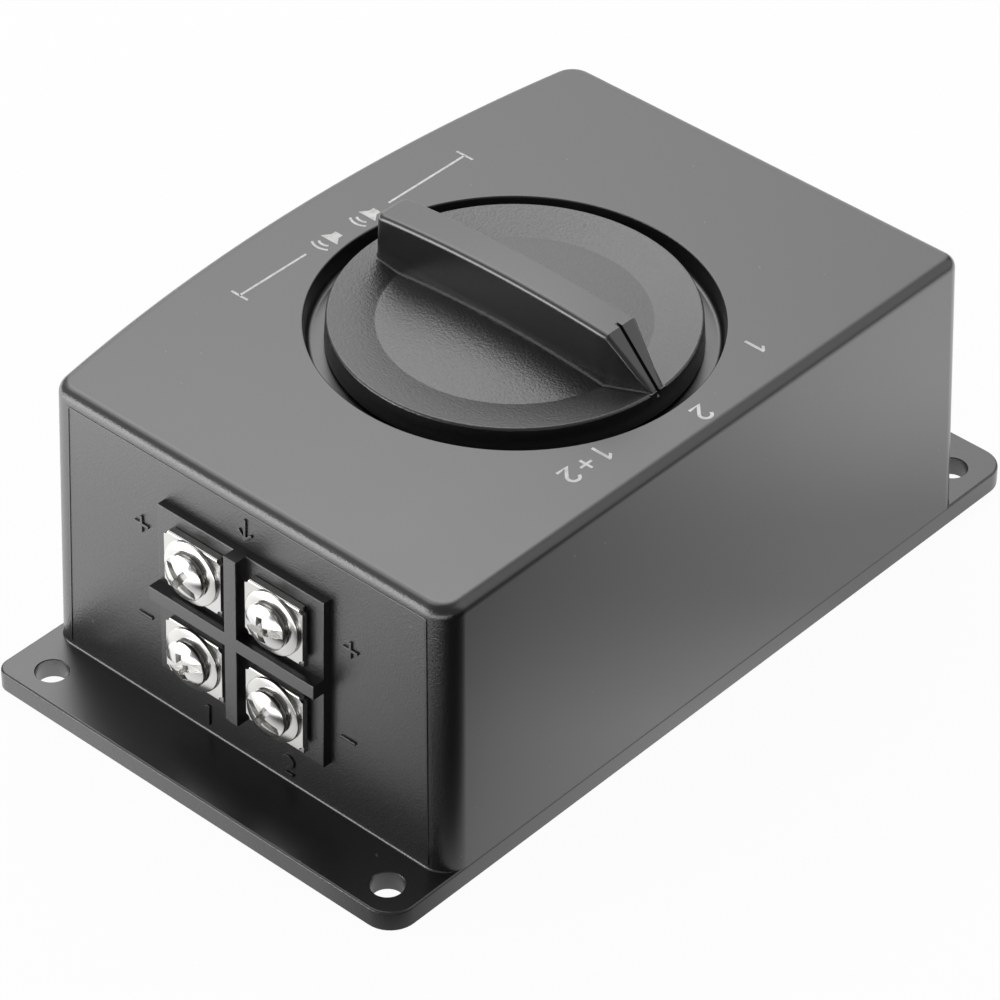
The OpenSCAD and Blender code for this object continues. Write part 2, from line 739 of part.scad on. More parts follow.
module detent_rotor() {
    color("white") difference() {
        union() {
            translate([0, 0, rotor_z]) cylinder(h = rotor_h, r = rotor_r, $fn = fine);
            translate([-tab_r, -tab_w / 2, rotor_z + rotor_h - tab_h]) cube([tab_l + 1, tab_w, tab_h]);
        }
        translate([0, 0, rotor_z - reach])
            cylinder(h = rotor_h + 2 * reach, r = shaft_d / 2 + fixed_fit, $fn = smooth);
        at_balls() translate([pocket_r0, 0, 0]) rotate([0, 90, 0])
            cylinder(h = rotor_r, r = ball_d / 2 + run_fit, $fn = smooth);
    }
}

module detent_balls() {
    color("silver") at_balls() translate([ball_mid_r, 0, 0]) sphere(d = ball_d, $fn = smooth);
}

// ------------------------------------------------------------ swept pieces

// Mesh of a round tube along points, with the same number of sides at each
function tube_frame(p, i) =
    let (n = len(p), a = p[max(i - 1, 0)], b = p[min(i + 1, n - 1)]) (b - a) / norm(b - a);
function tube_ring(c, t, r, sides) =
    let (up = abs(t[2]) < 0.9 ? [0, 0, 1] : [1, 0, 0],
         u = cross(t, up) / norm(cross(t, up)),
         v = cross(t, u))
    [for (k = [0:sides - 1]) c + r * (cos(360 * k / sides) * u + sin(360 * k / sides) * v)];

module tube(p, r, sides) {
    n = len(p);
    pts = [for (i = [0:n - 1]) each tube_ring(p[i], tube_frame(p, i), r, sides)];
    walls = [for (i = [0:n - 2], k = [0:sides - 1], h = [0, 1])
        let (a = i * sides + k, b = i * sides + (k + 1) % sides)
        h == 0 ? [a, b, b + sides] : [a, b + sides, a + sides]];
    foot = [for (k = [1:sides - 2]) [0, k + 1, k]];
    top = [for (k = [1:sides - 2]) [(n - 1) * sides, (n - 1) * sides + k, (n - 1) * sides + k + 1]];
    polyhedron(points = pts, faces = concat(walls, foot, top));
}

spring_wire = 0.35;  // diameter of the springs' wire
spring_turns = 4;
spring_gap = 0.05;   // gap at each end of a spring
spring_r = ball_d / 2 - spring_wire / 2 - 0.15;
spring_steps = 10;   // rings of one turn

module detent_springs() {
    x0 = pocket_r0 + spring_wire / 2 + spring_gap;
    x1 = ball_mid_r - ball_d / 2 - spring_wire / 2 + spring_gap;
    n = spring_turns * spring_steps;
    path = [for (i = [0:n]) let (a = 360 * i / spring_steps)
        [x0 + (x1 - x0) * i / n, spring_r * cos(a), spring_r * sin(a)]];
    color("silver") at_balls() tube(path, spring_wire / 2, 6);
}

// ------------------------------------------------------------------ wafers

clip_angles = [0, 30, 60, 120, 150, 180, 210, 240, 300, 330];
rotor_plate_r = wafer_bore_r - run_fit;
rotor_hub_r = norm([blade_w, blade_t]) / 2 + 1.2;
rotor_hub_rise = 1.2;   // how far a rotor's hub stands past the wafer above it
rotor_hub_drop = 0.8;   // and below it
blade_sheet_t = 0.3;    // thickness of the contact segments
blade_seat = 0.01;      // gap under the contact segments
blade_span = 130;       // angle of one contact segment
blade_r = wafer_bore_r + 1.9;
blade_in_r = rotor_hub_r + 0.2;
finger_gap = 0.12;      // gap between a segment and a clip's finger
finger_r0 = wafer_bore_r + 0.6;
finger_r1 = blade_r + 1.5;
finger_step = 0.8;      // length of the clip's raised step
eye_d = 1;              // hole in a solder lug
eye_in = 1.2;           // distance of that hole from the lug's end

module spacers(z, l) {
    at_studs() translate([0, 0, z]) difference() {
        cylinder(h = l, d = stud_d + 2, $fn = smooth);
        translate([0, 0, -reach]) cylinder(h = l + 2 * reach, r = stud_d / 2 + fixed_fit, $fn = smooth);
    }
}

module wafer(z) {
    translate([0, 0, z]) difference() {
        linear_extrude(wafer_t) union() {
            circle(wafer_r, $fn = fine);
            ear_shape();
        }
        translate([0, 0, -reach]) cylinder(h = wafer_t + 2 * reach, r = wafer_bore_r, $fn = fine);
        stud_holes(wafer_t);
    }
}

// Clip on the wafer's upper face: strip with a solder eye, and a finger over the blade
module clips(z) {
    top = z + wafer_t;
    finger_z = top + blade_seat + blade_sheet_t + finger_gap;
    step_r = finger_r1 - finger_step;
    for (a = clip_angles) rotate([0, 0, a]) difference() {
        translate([0, -clip_strip_w / 2, 0]) union() {
            translate([step_r, 0, top]) cube([lug_r - step_r, clip_strip_w, clip_strip_t]);
            translate([step_r, 0, top]) cube([finger_step, clip_strip_w, finger_z + clip_strip_t - top]);
            translate([finger_r0, 0, finger_z]) cube([finger_r1 - finger_r0, clip_strip_w, clip_strip_t]);
        }
        translate([lug_r - eye_in, 0, top - reach])
            cylinder(h = clip_strip_t + 2 * reach, d = eye_d, $fn = smooth);
    }
}

module wafer_rotor(z) {
    translate([0, 0, z]) difference() {
        union() {
            cylinder(h = wafer_t, r = rotor_plate_r, $fn = fine);
            translate([0, 0, -rotor_hub_drop])
                cylinder(h = wafer_t + rotor_hub_drop + rotor_hub_rise, r = rotor_hub_r, $fn = fine);
        }
        translate([-blade_w / 2 - fixed_fit, -blade_t / 2 - fixed_fit, -rotor_hub_drop - reach])
            cube([blade_w + 2 * fixed_fit, blade_t + 2 * fixed_fit,
                  wafer_t + rotor_hub_drop + rotor_hub_rise + 2 * reach]);
    }
}

// Two contact segments on the rotor's upper face
module rotor_blades(z, start) {
    translate([0, 0, z + wafer_t + blade_seat]) for (a = [start, start + 180])
        rotate([0, 0, a]) rotate_extrude(angle = blade_span, $fn = fine)
            translate([blade_in_r, 0]) square([blade_r - blade_in_r, blade_sheet_t]);
}

module upper_spacers() { color("silver") spacers(upper_wafer_z + wafer_t, upper_gap); }
module lower_spacers() { color("silver") spacers(lower_wafer_z + wafer_t, lower_gap); }
module upper_wafer() { color("peru") wafer(upper_wafer_z); }
module lower_wafer() { color("peru") wafer(lower_wafer_z); }
module upper_clips() { color("gainsboro") clips(upper_wafer_z); }
module lower_clips() { color("gainsboro") clips(lower_wafer_z); }
module upper_rotor() { color("white") wafer_rotor(upper_wafer_z); }
module lower_rotor() { color("white") wafer_rotor(lower_wafer_z); }
module upper_blades() { color("gold") rotor_blades(upper_wafer_z, 25); }
module lower_blades() { color("gold") rotor_blades(lower_wafer_z, 55); }

module tie_studs() {
    color("silver") at_studs() translate([0, 0, stud_foot])
        cylinder(h = plate_top - stud_foot, d = stud_d, $fn = smooth);
}

module tie_nuts() {
    color("silver") at_studs() translate([0, 0, lower_wafer_z - tie_nut_t])
        hex_nut(tie_nut_af, tie_nut_t, stud_d / 2 + fixed_fit);
}

// --------------------------------------------------------------- terminals

contact_top = clamp_h / 2 - clamp_t - 0.05;
clamp_lift = 0.08;   // gap between a clamp's turned-back edge and the block
tail_eye_d = 1.2;    // hole in a solder tail
tail_eye_in = 1.3;   // distance of that hole from the tail's end

module contact() {
    foot = -contact_foot;
    difference() {
        union() {
            translate([-contact_w / 2, foot, 0]) cube([contact_w, contact_top - foot, contact_t]);
            translate([0, 0, -collar_l]) cylinder(h = collar_l + sliver, d = collar_d, $fn = smooth);
            translate([-tail_w / 2, foot, -tail_l]) cube([tail_w, tail_t, tail_l + sliver]);
        }
        translate([0, 0, -collar_l - reach])
            cylinder(h = collar_l + contact_t + 2 * reach, r = screw_d / 2 + fixed_fit, $fn = smooth);
        translate([0, foot - reach, -tail_l + tail_eye_in]) rotate([-90, 0, 0])
            cylinder(h = tail_t + 2 * reach, d = tail_eye_d, $fn = smooth);
    }
}

// Sheet with its upper edge turned back, and a notch at each corner
module clamp() {
    difference() {
        union() {
            translate([-clamp_w / 2, -clamp_h / 2, contact_t]) cube([clamp_w, clamp_h, clamp_t]);
            translate([-clamp_w / 2 + clamp_notch, clamp_h / 2 - clamp_t, clamp_lift])
                cube([clamp_w - 2 * clamp_notch, clamp_t, contact_t + clamp_t - clamp_lift]);
        }
        for (sx = [-1, 1], sy = [-1, 1]) translate([sx * clamp_w / 2, sy * clamp_h / 2, -reach])
            cylinder(h = 3 * reach + clamp_t, r = clamp_notch, $fn = smooth);
        translate([0, 0, -reach])
            cylinder(h = contact_t + clamp_t + 2 * reach, r = screw_d / 2 + loose_fit, $fn = smooth);
    }
}

washer_z = contact_t + clamp_t;
washer_dish = 0.18;   // how far a washer's middle stands up
washer_seat_in = 0.4; // how far its flat middle ends inside the head
head_z = washer_z + washer_t + washer_dish;
head_edge = 0.25;     // chamfer under a head

// Dished washer: its rim rests on the clamp, its middle stands up to the screw's head
module dished_washer() {
    r0 = screw_d / 2 + loose_fit;
    r1 = head_d / 2 - washer_seat_in;
    r2 = washer_d / 2;
    up = washer_dish;
    rotate_extrude($fn = fine) polygon([
        [r0, washer_z + up], [r1, washer_z + up], [r2, washer_z],
        [r2, washer_z + washer_t], [r1, washer_z + washer_t + up], [r0, washer_z + washer_t + up]]);
}

// Pan head screw with a slot and a cross recess
module terminal_screw() {
    side_h = head_h * 0.5;
    crown = head_h - side_h;
    crown_r = (pow(head_d / 2, 2) + crown * crown) / (2 * crown);
    crown_turn = asin(head_d / 2 / crown_r);
    cross = head_d * 0.56;
    cross_h = slot_depth * 1.3;
    difference() {
        union() {
            rotate_extrude($fn = fine) polygon(concat(
                [[0, head_z], [head_d / 2 - head_edge, head_z], [head_d / 2, head_z + head_edge]],
                arc(0, head_z + head_h - crown_r, crown_r, 90 - crown_turn, 90, 8)));
            translate([0, 0, head_z - screw_l]) cylinder(h = screw_l + sliver, d = screw_d, $fn = smooth);
        }
        translate([-head_d, -slot_w / 2, head_z + head_h - slot_depth])
            cube([2 * head_d, slot_w, slot_depth + reach]);
        translate([-slot_w / 2, -cross / 2, head_z + head_h - cross_h]) cube([slot_w, cross, cross_h + reach]);
    }
}

module input_contacts() { color("gainsboro") at_terminals(false) contact(); }
module input_clamps() { color("gainsboro") at_terminals(false) clamp(); }
module input_washers() { color("gainsboro") at_terminals(false) dished_washer(); }
module input_screws() { color("gainsboro") at_terminals(false) terminal_screw(); }
module output_contacts() { color("gainsboro") at_terminals(true) contact(); }
module output_clamps() { color("gainsboro") at_terminals(true) clamp(); }
module output_washers() { color("gainsboro") at_terminals(true) dished_washer(); }
module output_screws() { color("gainsboro") at_terminals(true) terminal_screw(); }

// ------------------------------------------------------------------ wiring

// Point on an end wall, from the wall's own axes
function wall_point(rear, x, y, z) =
    let (s = rear ? -1 : 1,
         back = -body_l / 2 + y * sin(wall_lean) - z * cos(wall_lean),
         up = y * cos(wall_lean) + z * sin(wall_lean))
    [s * x, s * back, up];

function bezier(a, b, c, d, t) =
    pow(1 - t, 3) * a + 3 * t * pow(1 - t, 2) * b + 3 * t * t * (1 - t) * c + pow(t, 3) * d;

lead_steps = 9;
lead_gap = 0.05;  // gap at each end of a wire
lead_stub = 0.6;  // straight length at each end of a wire
lead_out = 8;     // how far a wire's bend reaches out

// Wire from a terminal's tail to a wafer's solder lug
function lead_path(rear, column, upper, angle) =
    let (s = upper ? 1 : -1,
         x = column_x(rear, column),
         y = row_mid_z + s * row_pitch / 2 + tail_y,
         start = wall_point(rear, x, y, block_t - tail_l - lead_gap),
         leave = wall_point(rear, x, y, block_t - tail_l - lead_gap - lead_stub),
         in = wall_point(rear, x, y, block_t - tail_l - lead_out),
         z = (upper ? upper_wafer_z : lower_wafer_z) + wafer_t + clip_strip_t / 2,
         far = lug_r + lead_gap,
         end = [far * cos(angle), far * sin(angle), z],
         meet = [(far + lead_stub) * cos(angle), (far + lead_stub) * sin(angle), z],
         out = [(far + lead_out) * cos(angle), (far + lead_out) * sin(angle), z])
    concat([start], [for (i = [0:lead_steps]) bezier(leave, in, out, meet, i / lead_steps)], [end]);

module lead(rear, column, upper, angle) {
    tube(lead_path(rear, column, upper, angle), lead_d / 2, 8);
}

front_angles = [240, 300];
rear_angles = [30, 60, 120, 150];

module leads(upper) {
    for (i = [0:front_columns - 1]) lead(false, i, upper, front_angles[i]);
    for (i = [0:rear_columns - 1]) lead(true, i, upper, rear_angles[i]);
}

module red_leads() { color("firebrick") leads(true); }
module black_leads() { color("#222222") leads(false); }

housing();
bottom_cover();
cover_screws();
knob();
knob_spring_ring();
switch_shaft();
shaft_clip();
switch_bushing();
lock_washer();
bushing_nut();
index_plate();
detent_ring();
detent_rotor();
detent_springs();
detent_balls();
upper_spacers();
upper_wafer();
upper_clips();
upper_rotor();
upper_blades();
lower_spacers();
lower_wafer();
lower_clips();
lower_rotor();
lower_blades();
tie_studs();
tie_nuts();
input_contacts();
input_clamps();
input_washers();
input_screws();
output_contacts();
output_clamps();
output_washers();
output_screws();
red_leads();
black_leads();
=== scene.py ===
"""Looks of the rotary speaker selector: black moulded box, dial knob, plated screw terminals."""

from math import asin, atan, cos, degrees, hypot, pi, radians, sin, sqrt

import bpy
import bmesh
from mathutils import Matrix, Vector


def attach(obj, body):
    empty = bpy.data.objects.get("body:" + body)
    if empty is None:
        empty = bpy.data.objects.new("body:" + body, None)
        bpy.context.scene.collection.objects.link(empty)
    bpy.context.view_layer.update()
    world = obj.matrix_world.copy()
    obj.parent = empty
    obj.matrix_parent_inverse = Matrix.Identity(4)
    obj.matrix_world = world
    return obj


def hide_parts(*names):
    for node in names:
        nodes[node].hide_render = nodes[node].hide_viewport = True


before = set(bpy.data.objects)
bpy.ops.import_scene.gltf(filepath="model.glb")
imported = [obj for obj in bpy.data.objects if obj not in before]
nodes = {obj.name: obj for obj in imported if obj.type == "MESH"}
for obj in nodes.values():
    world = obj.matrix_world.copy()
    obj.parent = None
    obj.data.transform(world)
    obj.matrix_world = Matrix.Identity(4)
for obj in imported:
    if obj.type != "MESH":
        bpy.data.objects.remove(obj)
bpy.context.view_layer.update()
scene = bpy.context.scene
scene.view_settings.view_transform = "Standard"

MM = 0.001

# Sizes of the moulding, in millimetres
BODY_W, BODY_L, BODY_H = 66.0, 95.9, 41.5
BOW_RISE, DRAFT = 4.6, 1.15
CORNER_R, REAR_CORNER_R, TOP_EDGE_R, FOOT_R = 3.4, 2.2, 1.55, 0.25
CORNER_STEPS, BOW_STEPS, EDGE_STEPS, FOOT_STEPS = 10, 48, 9, 5
WALL_T, TOP_T = 2.2, 2.4
BOW_R = ((BODY_L / 2) ** 2 + BOW_RISE ** 2) / (2 * BOW_RISE)
BOW_X = -BODY_W / 2 - BOW_RISE + BOW_R
WALL_LEAN = atan(DRAFT / BODY_H)
FLANGE_T, FLANGE_EDGE, FLANGE_R, FLANGE_BOW_R = 2.7, 0.35, 3.7, 2.0
FLANGE_LEFT, FLANGE_RIGHT, FLANGE_FRONT, FLANGE_REAR = -33.95, 33.0, -57.35, 59.05
MOUNT_X, MOUNT_Y, MOUNT_R = 28.2, 53.0, 2.1
MOUNT_LIP = 0.1
RECESS_R, RECESS_Z, RECESS_FILLET, RECESS_T = 25.6, 38.7, 0.7, 2.0
RECESS_LIP, RECESS_DRAFT = 0.22, 0.3
WELL_R, WELL_Z, WELL_FOOT_Z, WELL_T = 10.0, 31.0, 28.8, 2.2
BUSHING_HOLE_R, LUG_HOLE_R, LUG_HOLE_X = 4.6, 1.3, 8.2
COVER_TOP, COVER_RIM, COVER_STEP = 2.3, 1.7, 0.5
BOSS_X, BOSS_Y, BOSS_R, PILOT_R, PILOT_DEPTH = 26.6, 41.4, 3.3, 1.48, 11.0
CAVITY_TOP = BODY_H - TOP_T
PAST = 1.0  # how far a cutter passes the surface that it opens
CORNERS = [(sx, sy) for sx in (-1, 1) for sy in (-1, 1)]

# Knob
KNOB_R, RIM_Z, RIM_SOFT = 22.9, 42.4, 0.35
SKIRT_R, SKIRT_Z, SKIRT_EDGE, KNOB_T = 23.1, 39.0, 0.15, 1.5
DOME_R, DOME_Z, DOME_RISE, DOME_STEP = 16.9, 41.5, 0.95, 0.12
DOME_BALL = (DOME_R ** 2 + DOME_RISE ** 2) / (2 * DOME_RISE)
BAR_HALF, BAR_TOP_Z, BAR_ARCH, BAR_EDGE, BAR_FOOT = 2.7, 49.55, 200.0, 0.7, 0.28
BAR_TAIL, BAR_LEAN, BAR_CORNER, BAR_SIDE_END = 21.0, 0.4, 1.2, -18.5
NOSE_X, TIP_X, TIP_HALF = 16.8, 22.8, 1.0
NOSE_Z = BAR_TOP_Z - NOSE_X ** 2 / (2 * BAR_ARCH)
NOSE_TAPER = (BAR_HALF - TIP_HALF) / (TIP_X - NOSE_X)
GROOVE_W, GROOVE_DEPTH = 0.5, 0.5
HUB_R, HUB_Z, BORE_TOP_Z, BORE_R, FLAT_X = 5.7, 35.06, 41.05, 3.03, 1.53
RING_Z, RING_H, RING_R = 36.06, 1.86, 5.27

# Terminals
COLUMN_PITCH, ROW_PITCH, ROW_Z = 13.3, 13.1, 22.0
BLOCK_T, BLOCK_H, BLOCK_MARGIN, RIB_RISE, RIB_T = 1.2, 24.7, 6.9, 1.75, 2.0
BLOCK_EDGE, RIB_EDGE = 0.18, 0.16
FRONT_BLOCK_X = 0.6
FRONT_COLUMNS = [FRONT_BLOCK_X - COLUMN_PITCH / 2, FRONT_BLOCK_X + COLUMN_PITCH / 2]
REAR_COLUMNS = [(i - 1.5) * COLUMN_PITCH for i in range(4)]
CONTACT_W, CONTACT_T, CONTACT_FOOT, CONTACT_TOP = 8.4, 0.5, 4.9, 3.25
CONTACT_EDGE, EYE_R, EYE_IN = 0.1, 0.6, 1.3
COLLAR_R, COLLAR_L, TAIL_W, TAIL_L = 2.6, 3.2, 3.0, 10.0
CLAMP_W, CLAMP_H, CLAMP_T, CLAMP_NOTCH, CLAMP_LIFT = 9.3, 8.0, 0.7, 0.6, 0.08
CLAMP_BEND, CLAMP_TRIM = 0.25, 1.5
WASHER_R, WASHER_T, WASHER_DISH, WASHER_EDGE, WASHER_FLAT = 4.3, 0.45, 0.18, 0.1, 0.4
SCREW_R, SCREW_L, SCREW_POINT, HOLE_FIT, THREAD_FIT = 1.75, 7.5, 0.3, 0.2, 0.03
HEAD_R, HEAD_H, HEAD_EDGE = 3.05, 1.75, 0.25
SLOT_W, SLOT_DEPTH, CROSS_SHARE, CROSS_DEPTH = 1.0, 0.8, 0.56, 1.3
SCREW_TURNS = {False: [-35, 10, 18, -28], True: [12, -33, 71, 38, -8, 27, 55, -41]}
WASHER_Z = CONTACT_T + CLAMP_T
HEAD_Z = WASHER_Z + WASHER_T + WASHER_DISH


# ------------------------------------------------------------------ shaping

def arc(x, y, r, start, end, steps):
    """Points of an arc, angles in degrees."""
    turns = [radians(start + (end - start) * i / steps) for i in range(steps + 1)]
    return [(x + r * cos(t), y + r * sin(t)) for t in turns]


def make(name, points, faces):
    """An object from points in millimetres, with its faces turned outwards."""
    mesh = bpy.data.meshes.new(name)
    mesh.from_pydata([tuple(c * MM for c in p) for p in points], [], faces)
    build = bmesh.new()
    build.from_mesh(mesh)
    bmesh.ops.remove_doubles(build, verts=build.verts, dist=1e-7)
    bmesh.ops.recalc_face_normals(build, faces=build.faces)
    build.to_mesh(mesh)
    build.free()
    piece = bpy.data.objects.new(name, mesh)
    scene.collection.objects.link(piece)
    return piece


def skin(rings):
    """Points of rings that have the same number of points, and the faces between them."""
    n = len(rings[0])
    faces = [(i * n + k, i * n + (k + 1) % n, (i + 1) * n + (k + 1) % n, (i + 1) * n + k)
             for i in range(len(rings) - 1) for k in range(n)]
    return [p for ring in rings for p in ring], faces


def loft(name, rings):
    """Closed solid through rings, with one flat face at each end."""
    n = len(rings[0])
    points, faces = skin(rings)
    last = (len(rings) - 1) * n
    faces += [tuple(range(n - 1, -1, -1)), tuple(last + k for k in range(n))]
    return make(name, points, faces)


def prism(name, outline, low, high):
    return loft(name, [[(x, y, z) for x, y in outline] for z in (low, high)])


def spun(name, profile, steps=96):
    """Solid of revolution about Z from a closed profile of (radius, height)."""
    points, rings = [], []
    for r, z in profile:
        if r < 1e-6:
            rings.append([len(points)] * steps)
            points.append((0, 0, z))
        else:
            rings.append([len(points) + k for k in range(steps)])
            turns = [2 * pi * k / steps for k in range(steps)]
            points += [(r * cos(t), r * sin(t), z) for t in turns]
    faces = []
    for a, b in zip(rings, rings[1:] + rings[:1]):
        if a[0] == a[1] and b[0] == b[1]:
            continue
        for k in range(steps):
            j = (k + 1) % steps
            corners = [a[k], a[j], b[j], b[k]]
            faces.append(tuple(c for i, c in enumerate(corners) if c not in corners[:i]))
    return make(name, points, faces)


def drum(name, r, low, high, x=0.0, y=0.0, steps=64):
    circle = arc(0, 0, r, 0, 360 - 360 / steps, steps - 1)
    return prism(name, [(x + px, y + py) for px, py in circle], low, high)


def slab(name, low, high, edge=0.0):
    """Box between two corners, with the edges of its +Z face rounded."""
    (x0, y0, z0), (x1, y1, z1) = low, high
    layers = [(0.0, z0)]
    if edge:
        layers += [(edge * (1 - cos(radians(a))), z1 - edge + edge * sin(radians(a)))
                   for a in (0, 45, 90)]
    else:
        layers.append((0.0, z1))
    return loft(name, [[(x0 + d, y0 + d, z), (x1 - d, y0 + d, z),
                        (x1 - d, y1 - d, z), (x0 + d, y1 - d, z)] for d, z in layers])


def at(x, y, z=0.0):
    """Shift in millimetres."""
    return Matrix.Translation((x * MM, y * MM, z * MM))


def discard(piece):
    mesh = piece.data
    bpy.data.objects.remove(piece)
    bpy.data.meshes.remove(mesh)


def settle(piece):
    """Applies a piece's modifiers to its mesh."""
    shaped = bpy.data.meshes.new_from_object(
        piece.evaluated_get(bpy.context.evaluated_depsgraph_get()))
    old = piece.data
    piece.modifiers.clear()
    piece.data = shaped
    bpy.data.meshes.remove(old)
    return piece


def combine(piece, others, operation):
    for other in others:
        step = piece.modifiers.new("combine", "BOOLEAN")
        step.operation, step.solver, step.object = operation, "EXACT", other
        bpy.context.view_layer.update()
        settle(piece)
        discard(other)
    return piece


def add(piece, *others):
    return combine(piece, others, "UNION")


def cut(piece, *others):
    return combine(piece, others, "DIFFERENCE")


def soften(piece, width):
    """Rounds the sharp edges of a small piece."""
    step = piece.modifiers.new("soften", "BEVEL")
    step.width, step.segments, step.limit_method = width * MM, 2, "ANGLE"
    step.angle_limit = radians(50)
    return settle(piece)


def shade(piece, angle=32):
    """Smooth shading that keeps flat faces flat and sharp edges sharp."""
    piece.data.shade_smooth()
    piece.data.set_sharp_from_angle(angle=radians(angle))
    step = piece.modifiers.new("shade", "WEIGHTED_NORMAL")
    step.keep_sharp, step.weight = True, 50
    return settle(piece)


def place(piece, matrix):
    piece.data.transform(matrix)
    if matrix.determinant() < 0:
        piece.data.flip_normals()
    return piece


def copies(name, piece, places):
    """One mesh of the same piece at several places."""
    build = bmesh.new()
    for spot in places:
        mesh = piece.data.copy()
        mesh.transform(spot)
        build.from_mesh(mesh)
        bpy.data.meshes.remove(mesh)
    mesh = bpy.data.meshes.new(name)
    build.to_mesh(mesh)
    build.free()
    discard(piece)
    whole = bpy.data.objects.new(name, mesh)
    scene.collection.objects.link(whole)
    return whole


def dress(piece, finish, slot, body, *replaced):
    """Gives a piece its finish, its body and the nodes that it stands for."""
    piece.data.materials.clear()
    piece.data.materials.append(finish)
    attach(piece, body)
    if replaced:
        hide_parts(*replaced)
    return piece


def on_wall(rear, x=0.0, y=0.0, z=0.0, turn=0.0):
    """Place on an end wall: X along the wall, Y up it, Z out of it."""
    return (Matrix.Rotation(pi if rear else 0, 4, "Z") @ at(0, -BODY_L / 2)
            @ Matrix.Rotation(pi / 2 - WALL_LEAN, 4, "X") @ at(x, y, z)
            @ Matrix.Rotation(radians(turn), 4, "Z"))


def terminal_places(rear, turns=None):
    columns = REAR_COLUMNS if rear else FRONT_COLUMNS
    spots = [(x, ROW_Z + s * ROW_PITCH / 2) for s in (1, -1) for x in columns]
    return [on_wall(rear, x, y, BLOCK_T, turns[i] if turns else 0)
            for i, (x, y) in enumerate(spots)]


# ---------------------------------------------------------- shader building

class Signal:
    """Output of a shader node, used in plain arithmetic."""

    def __init__(self, finish, socket):
        self.finish, self.socket = finish, socket

    def __add__(self, other):
        return self.finish.math("ADD", self, other)

    def __mul__(self, other):
        return self.finish.math("MULTIPLY", self, other)

    __radd__, __rmul__ = __add__, __mul__


class Finish:
    """Nodes of a material or of the world under construction."""

    def __init__(self, owner):
        self.owner = owner
        owner.use_nodes = True
        self.tree = owner.node_tree
        self.tree.nodes.clear()

    def node(self, kind, settings=None, sockets=None, output=0):
        made = self.tree.nodes.new("ShaderNode" + kind)
        for key, value in (settings or {}).items():
            if key == "stops":
                ramp = made.color_ramp
                while len(ramp.elements) < len(value):
                    ramp.elements.new(0.5)
                for stop, (where, level) in zip(ramp.elements, value):
                    stop.position, stop.color = where, (level, level, level, 1)
            else:
                setattr(made, key, value)
        for key, value in (sockets or {}).items():
            if isinstance(value, Signal):
                self.tree.links.new(value.socket, made.inputs[key])
            else:
                made.inputs[key].default_value = value
        return Signal(self, made.outputs[output]) if made.outputs else None

    def math(self, operation, a, b=0.0):
        return self.node("Math", {"operation": operation}, {0: a, 1: b})

    def place(self):
        return self.node("TexCoord", output=3)

    def stretched(self, *scale):
        return self.node("VectorMath", {"operation": "MULTIPLY"}, {0: self.place(), 1: scale})

    def noise(self, scale, detail=2.0, rough=0.5, where=None):
        return self.node("TexNoise", None, {"Vector": where or self.place(), "Scale": scale,
                                            "Detail": detail, "Roughness": rough})

    def ramp(self, value, *stops):
        return self.node("ValToRGB", {"stops": stops}, {0: value})

    def blend(self, share, a, b):
        a, b = [(*tone, 1) if isinstance(tone, tuple) else tone for tone in (a, b)]
        return self.node("Mix", {"data_type": "RGBA"}, {0: share, 6: a, 7: b}, output=2)

    def bump(self, height, strength, depth):
        return self.node("Bump", None, {"Height": height, "Strength": strength,
                                        "Distance": depth * MM})

    def part(self, vector, axis):
        return self.node("SeparateXYZ", None, {0: vector}, output="XYZ".index(axis))

    def facing(self, axis):
        """How far a surface faces along an axis of the object, from 0 to 1, either way."""
        return self.math("ABSOLUTE", self.part(self.node("TexCoord", output=1), axis))

    def surface(self, **sockets):
        named = {key.replace("_", " ").title().replace("Ior", "IOR"): value
                 for key, value in sockets.items()}
        shader = self.node("BsdfPrincipled", None, named)
        self.node("OutputMaterial", None, {0: shader})
        return self.owner


def new_finish(name):
    return Finish(bpy.data.materials.new(name))


def scaled(tone, factor):
    return tuple(min(1, c * factor) for c in tone)


def black_moulding(name, tone, gloss, eroded):
    """Satin black plastic, spark-eroded on the end walls or on the disc, with a little dust."""
    f = new_finish(name)
    cloud = f.noise(90.0, 3.0)
    silk = f.noise(1300.0, 2.0)
    if eroded == "disc":
        height = f.part(f.place(), "Z") * (1 / (HEIGHT_SPAN * MM))
        rough_part = f.ramp(height, (GRAIN_TOP_Z / HEIGHT_SPAN, 1.0), (SMOOTH_Z / HEIGHT_SPAN, 0.1))
        grain, relief = f.noise(2900.0, 2.0, 0.55), 6.0
    else:
        rough_part = f.ramp(f.facing("Y"), (0.55, 0.0), (0.8, 1.0))
        grain, relief = f.noise(3600.0, 2.0, 0.6), 5.0
    dust = f.ramp(f.noise(900.0, 1.0, 0.4), (0.80, 0.0), (0.82, 1.0))
    base = f.blend(cloud, scaled(tone, 0.85), scaled(tone, 1.2))
    base = f.blend(dust * 0.45, base, DUST)
    rough = gloss + cloud * 0.04 + dust * 0.2 + rough_part * (grain * 0.10)
    return f.surface(base_color=base, roughness=rough, specular_ior_level=1.0, ior=1.6,
                     normal=f.bump(grain * rough_part * relief + silk * 0.12, 0.30, 0.030))


def plated(name, tone, gloss):
    """Bright plating over punched sheet, faintly brushed and pitted."""
    f = new_finish(name)
    cloud = f.noise(240.0, 3.0)
    brush = f.noise(700.0, 4.0, 0.6, f.stretched(1.0, 6.0, 1.0))
    pits = f.noise(2600.0, 2.0)
    base = f.blend(cloud, scaled(tone, 0.92), tone)
    rough = gloss + cloud * 0.08 + brush * 0.05
    return f.surface(base_color=base, metallic=1.0, roughness=rough,
                     normal=f.bump(brush * 0.5 + pits * 0.4, 0.25, 0.020))


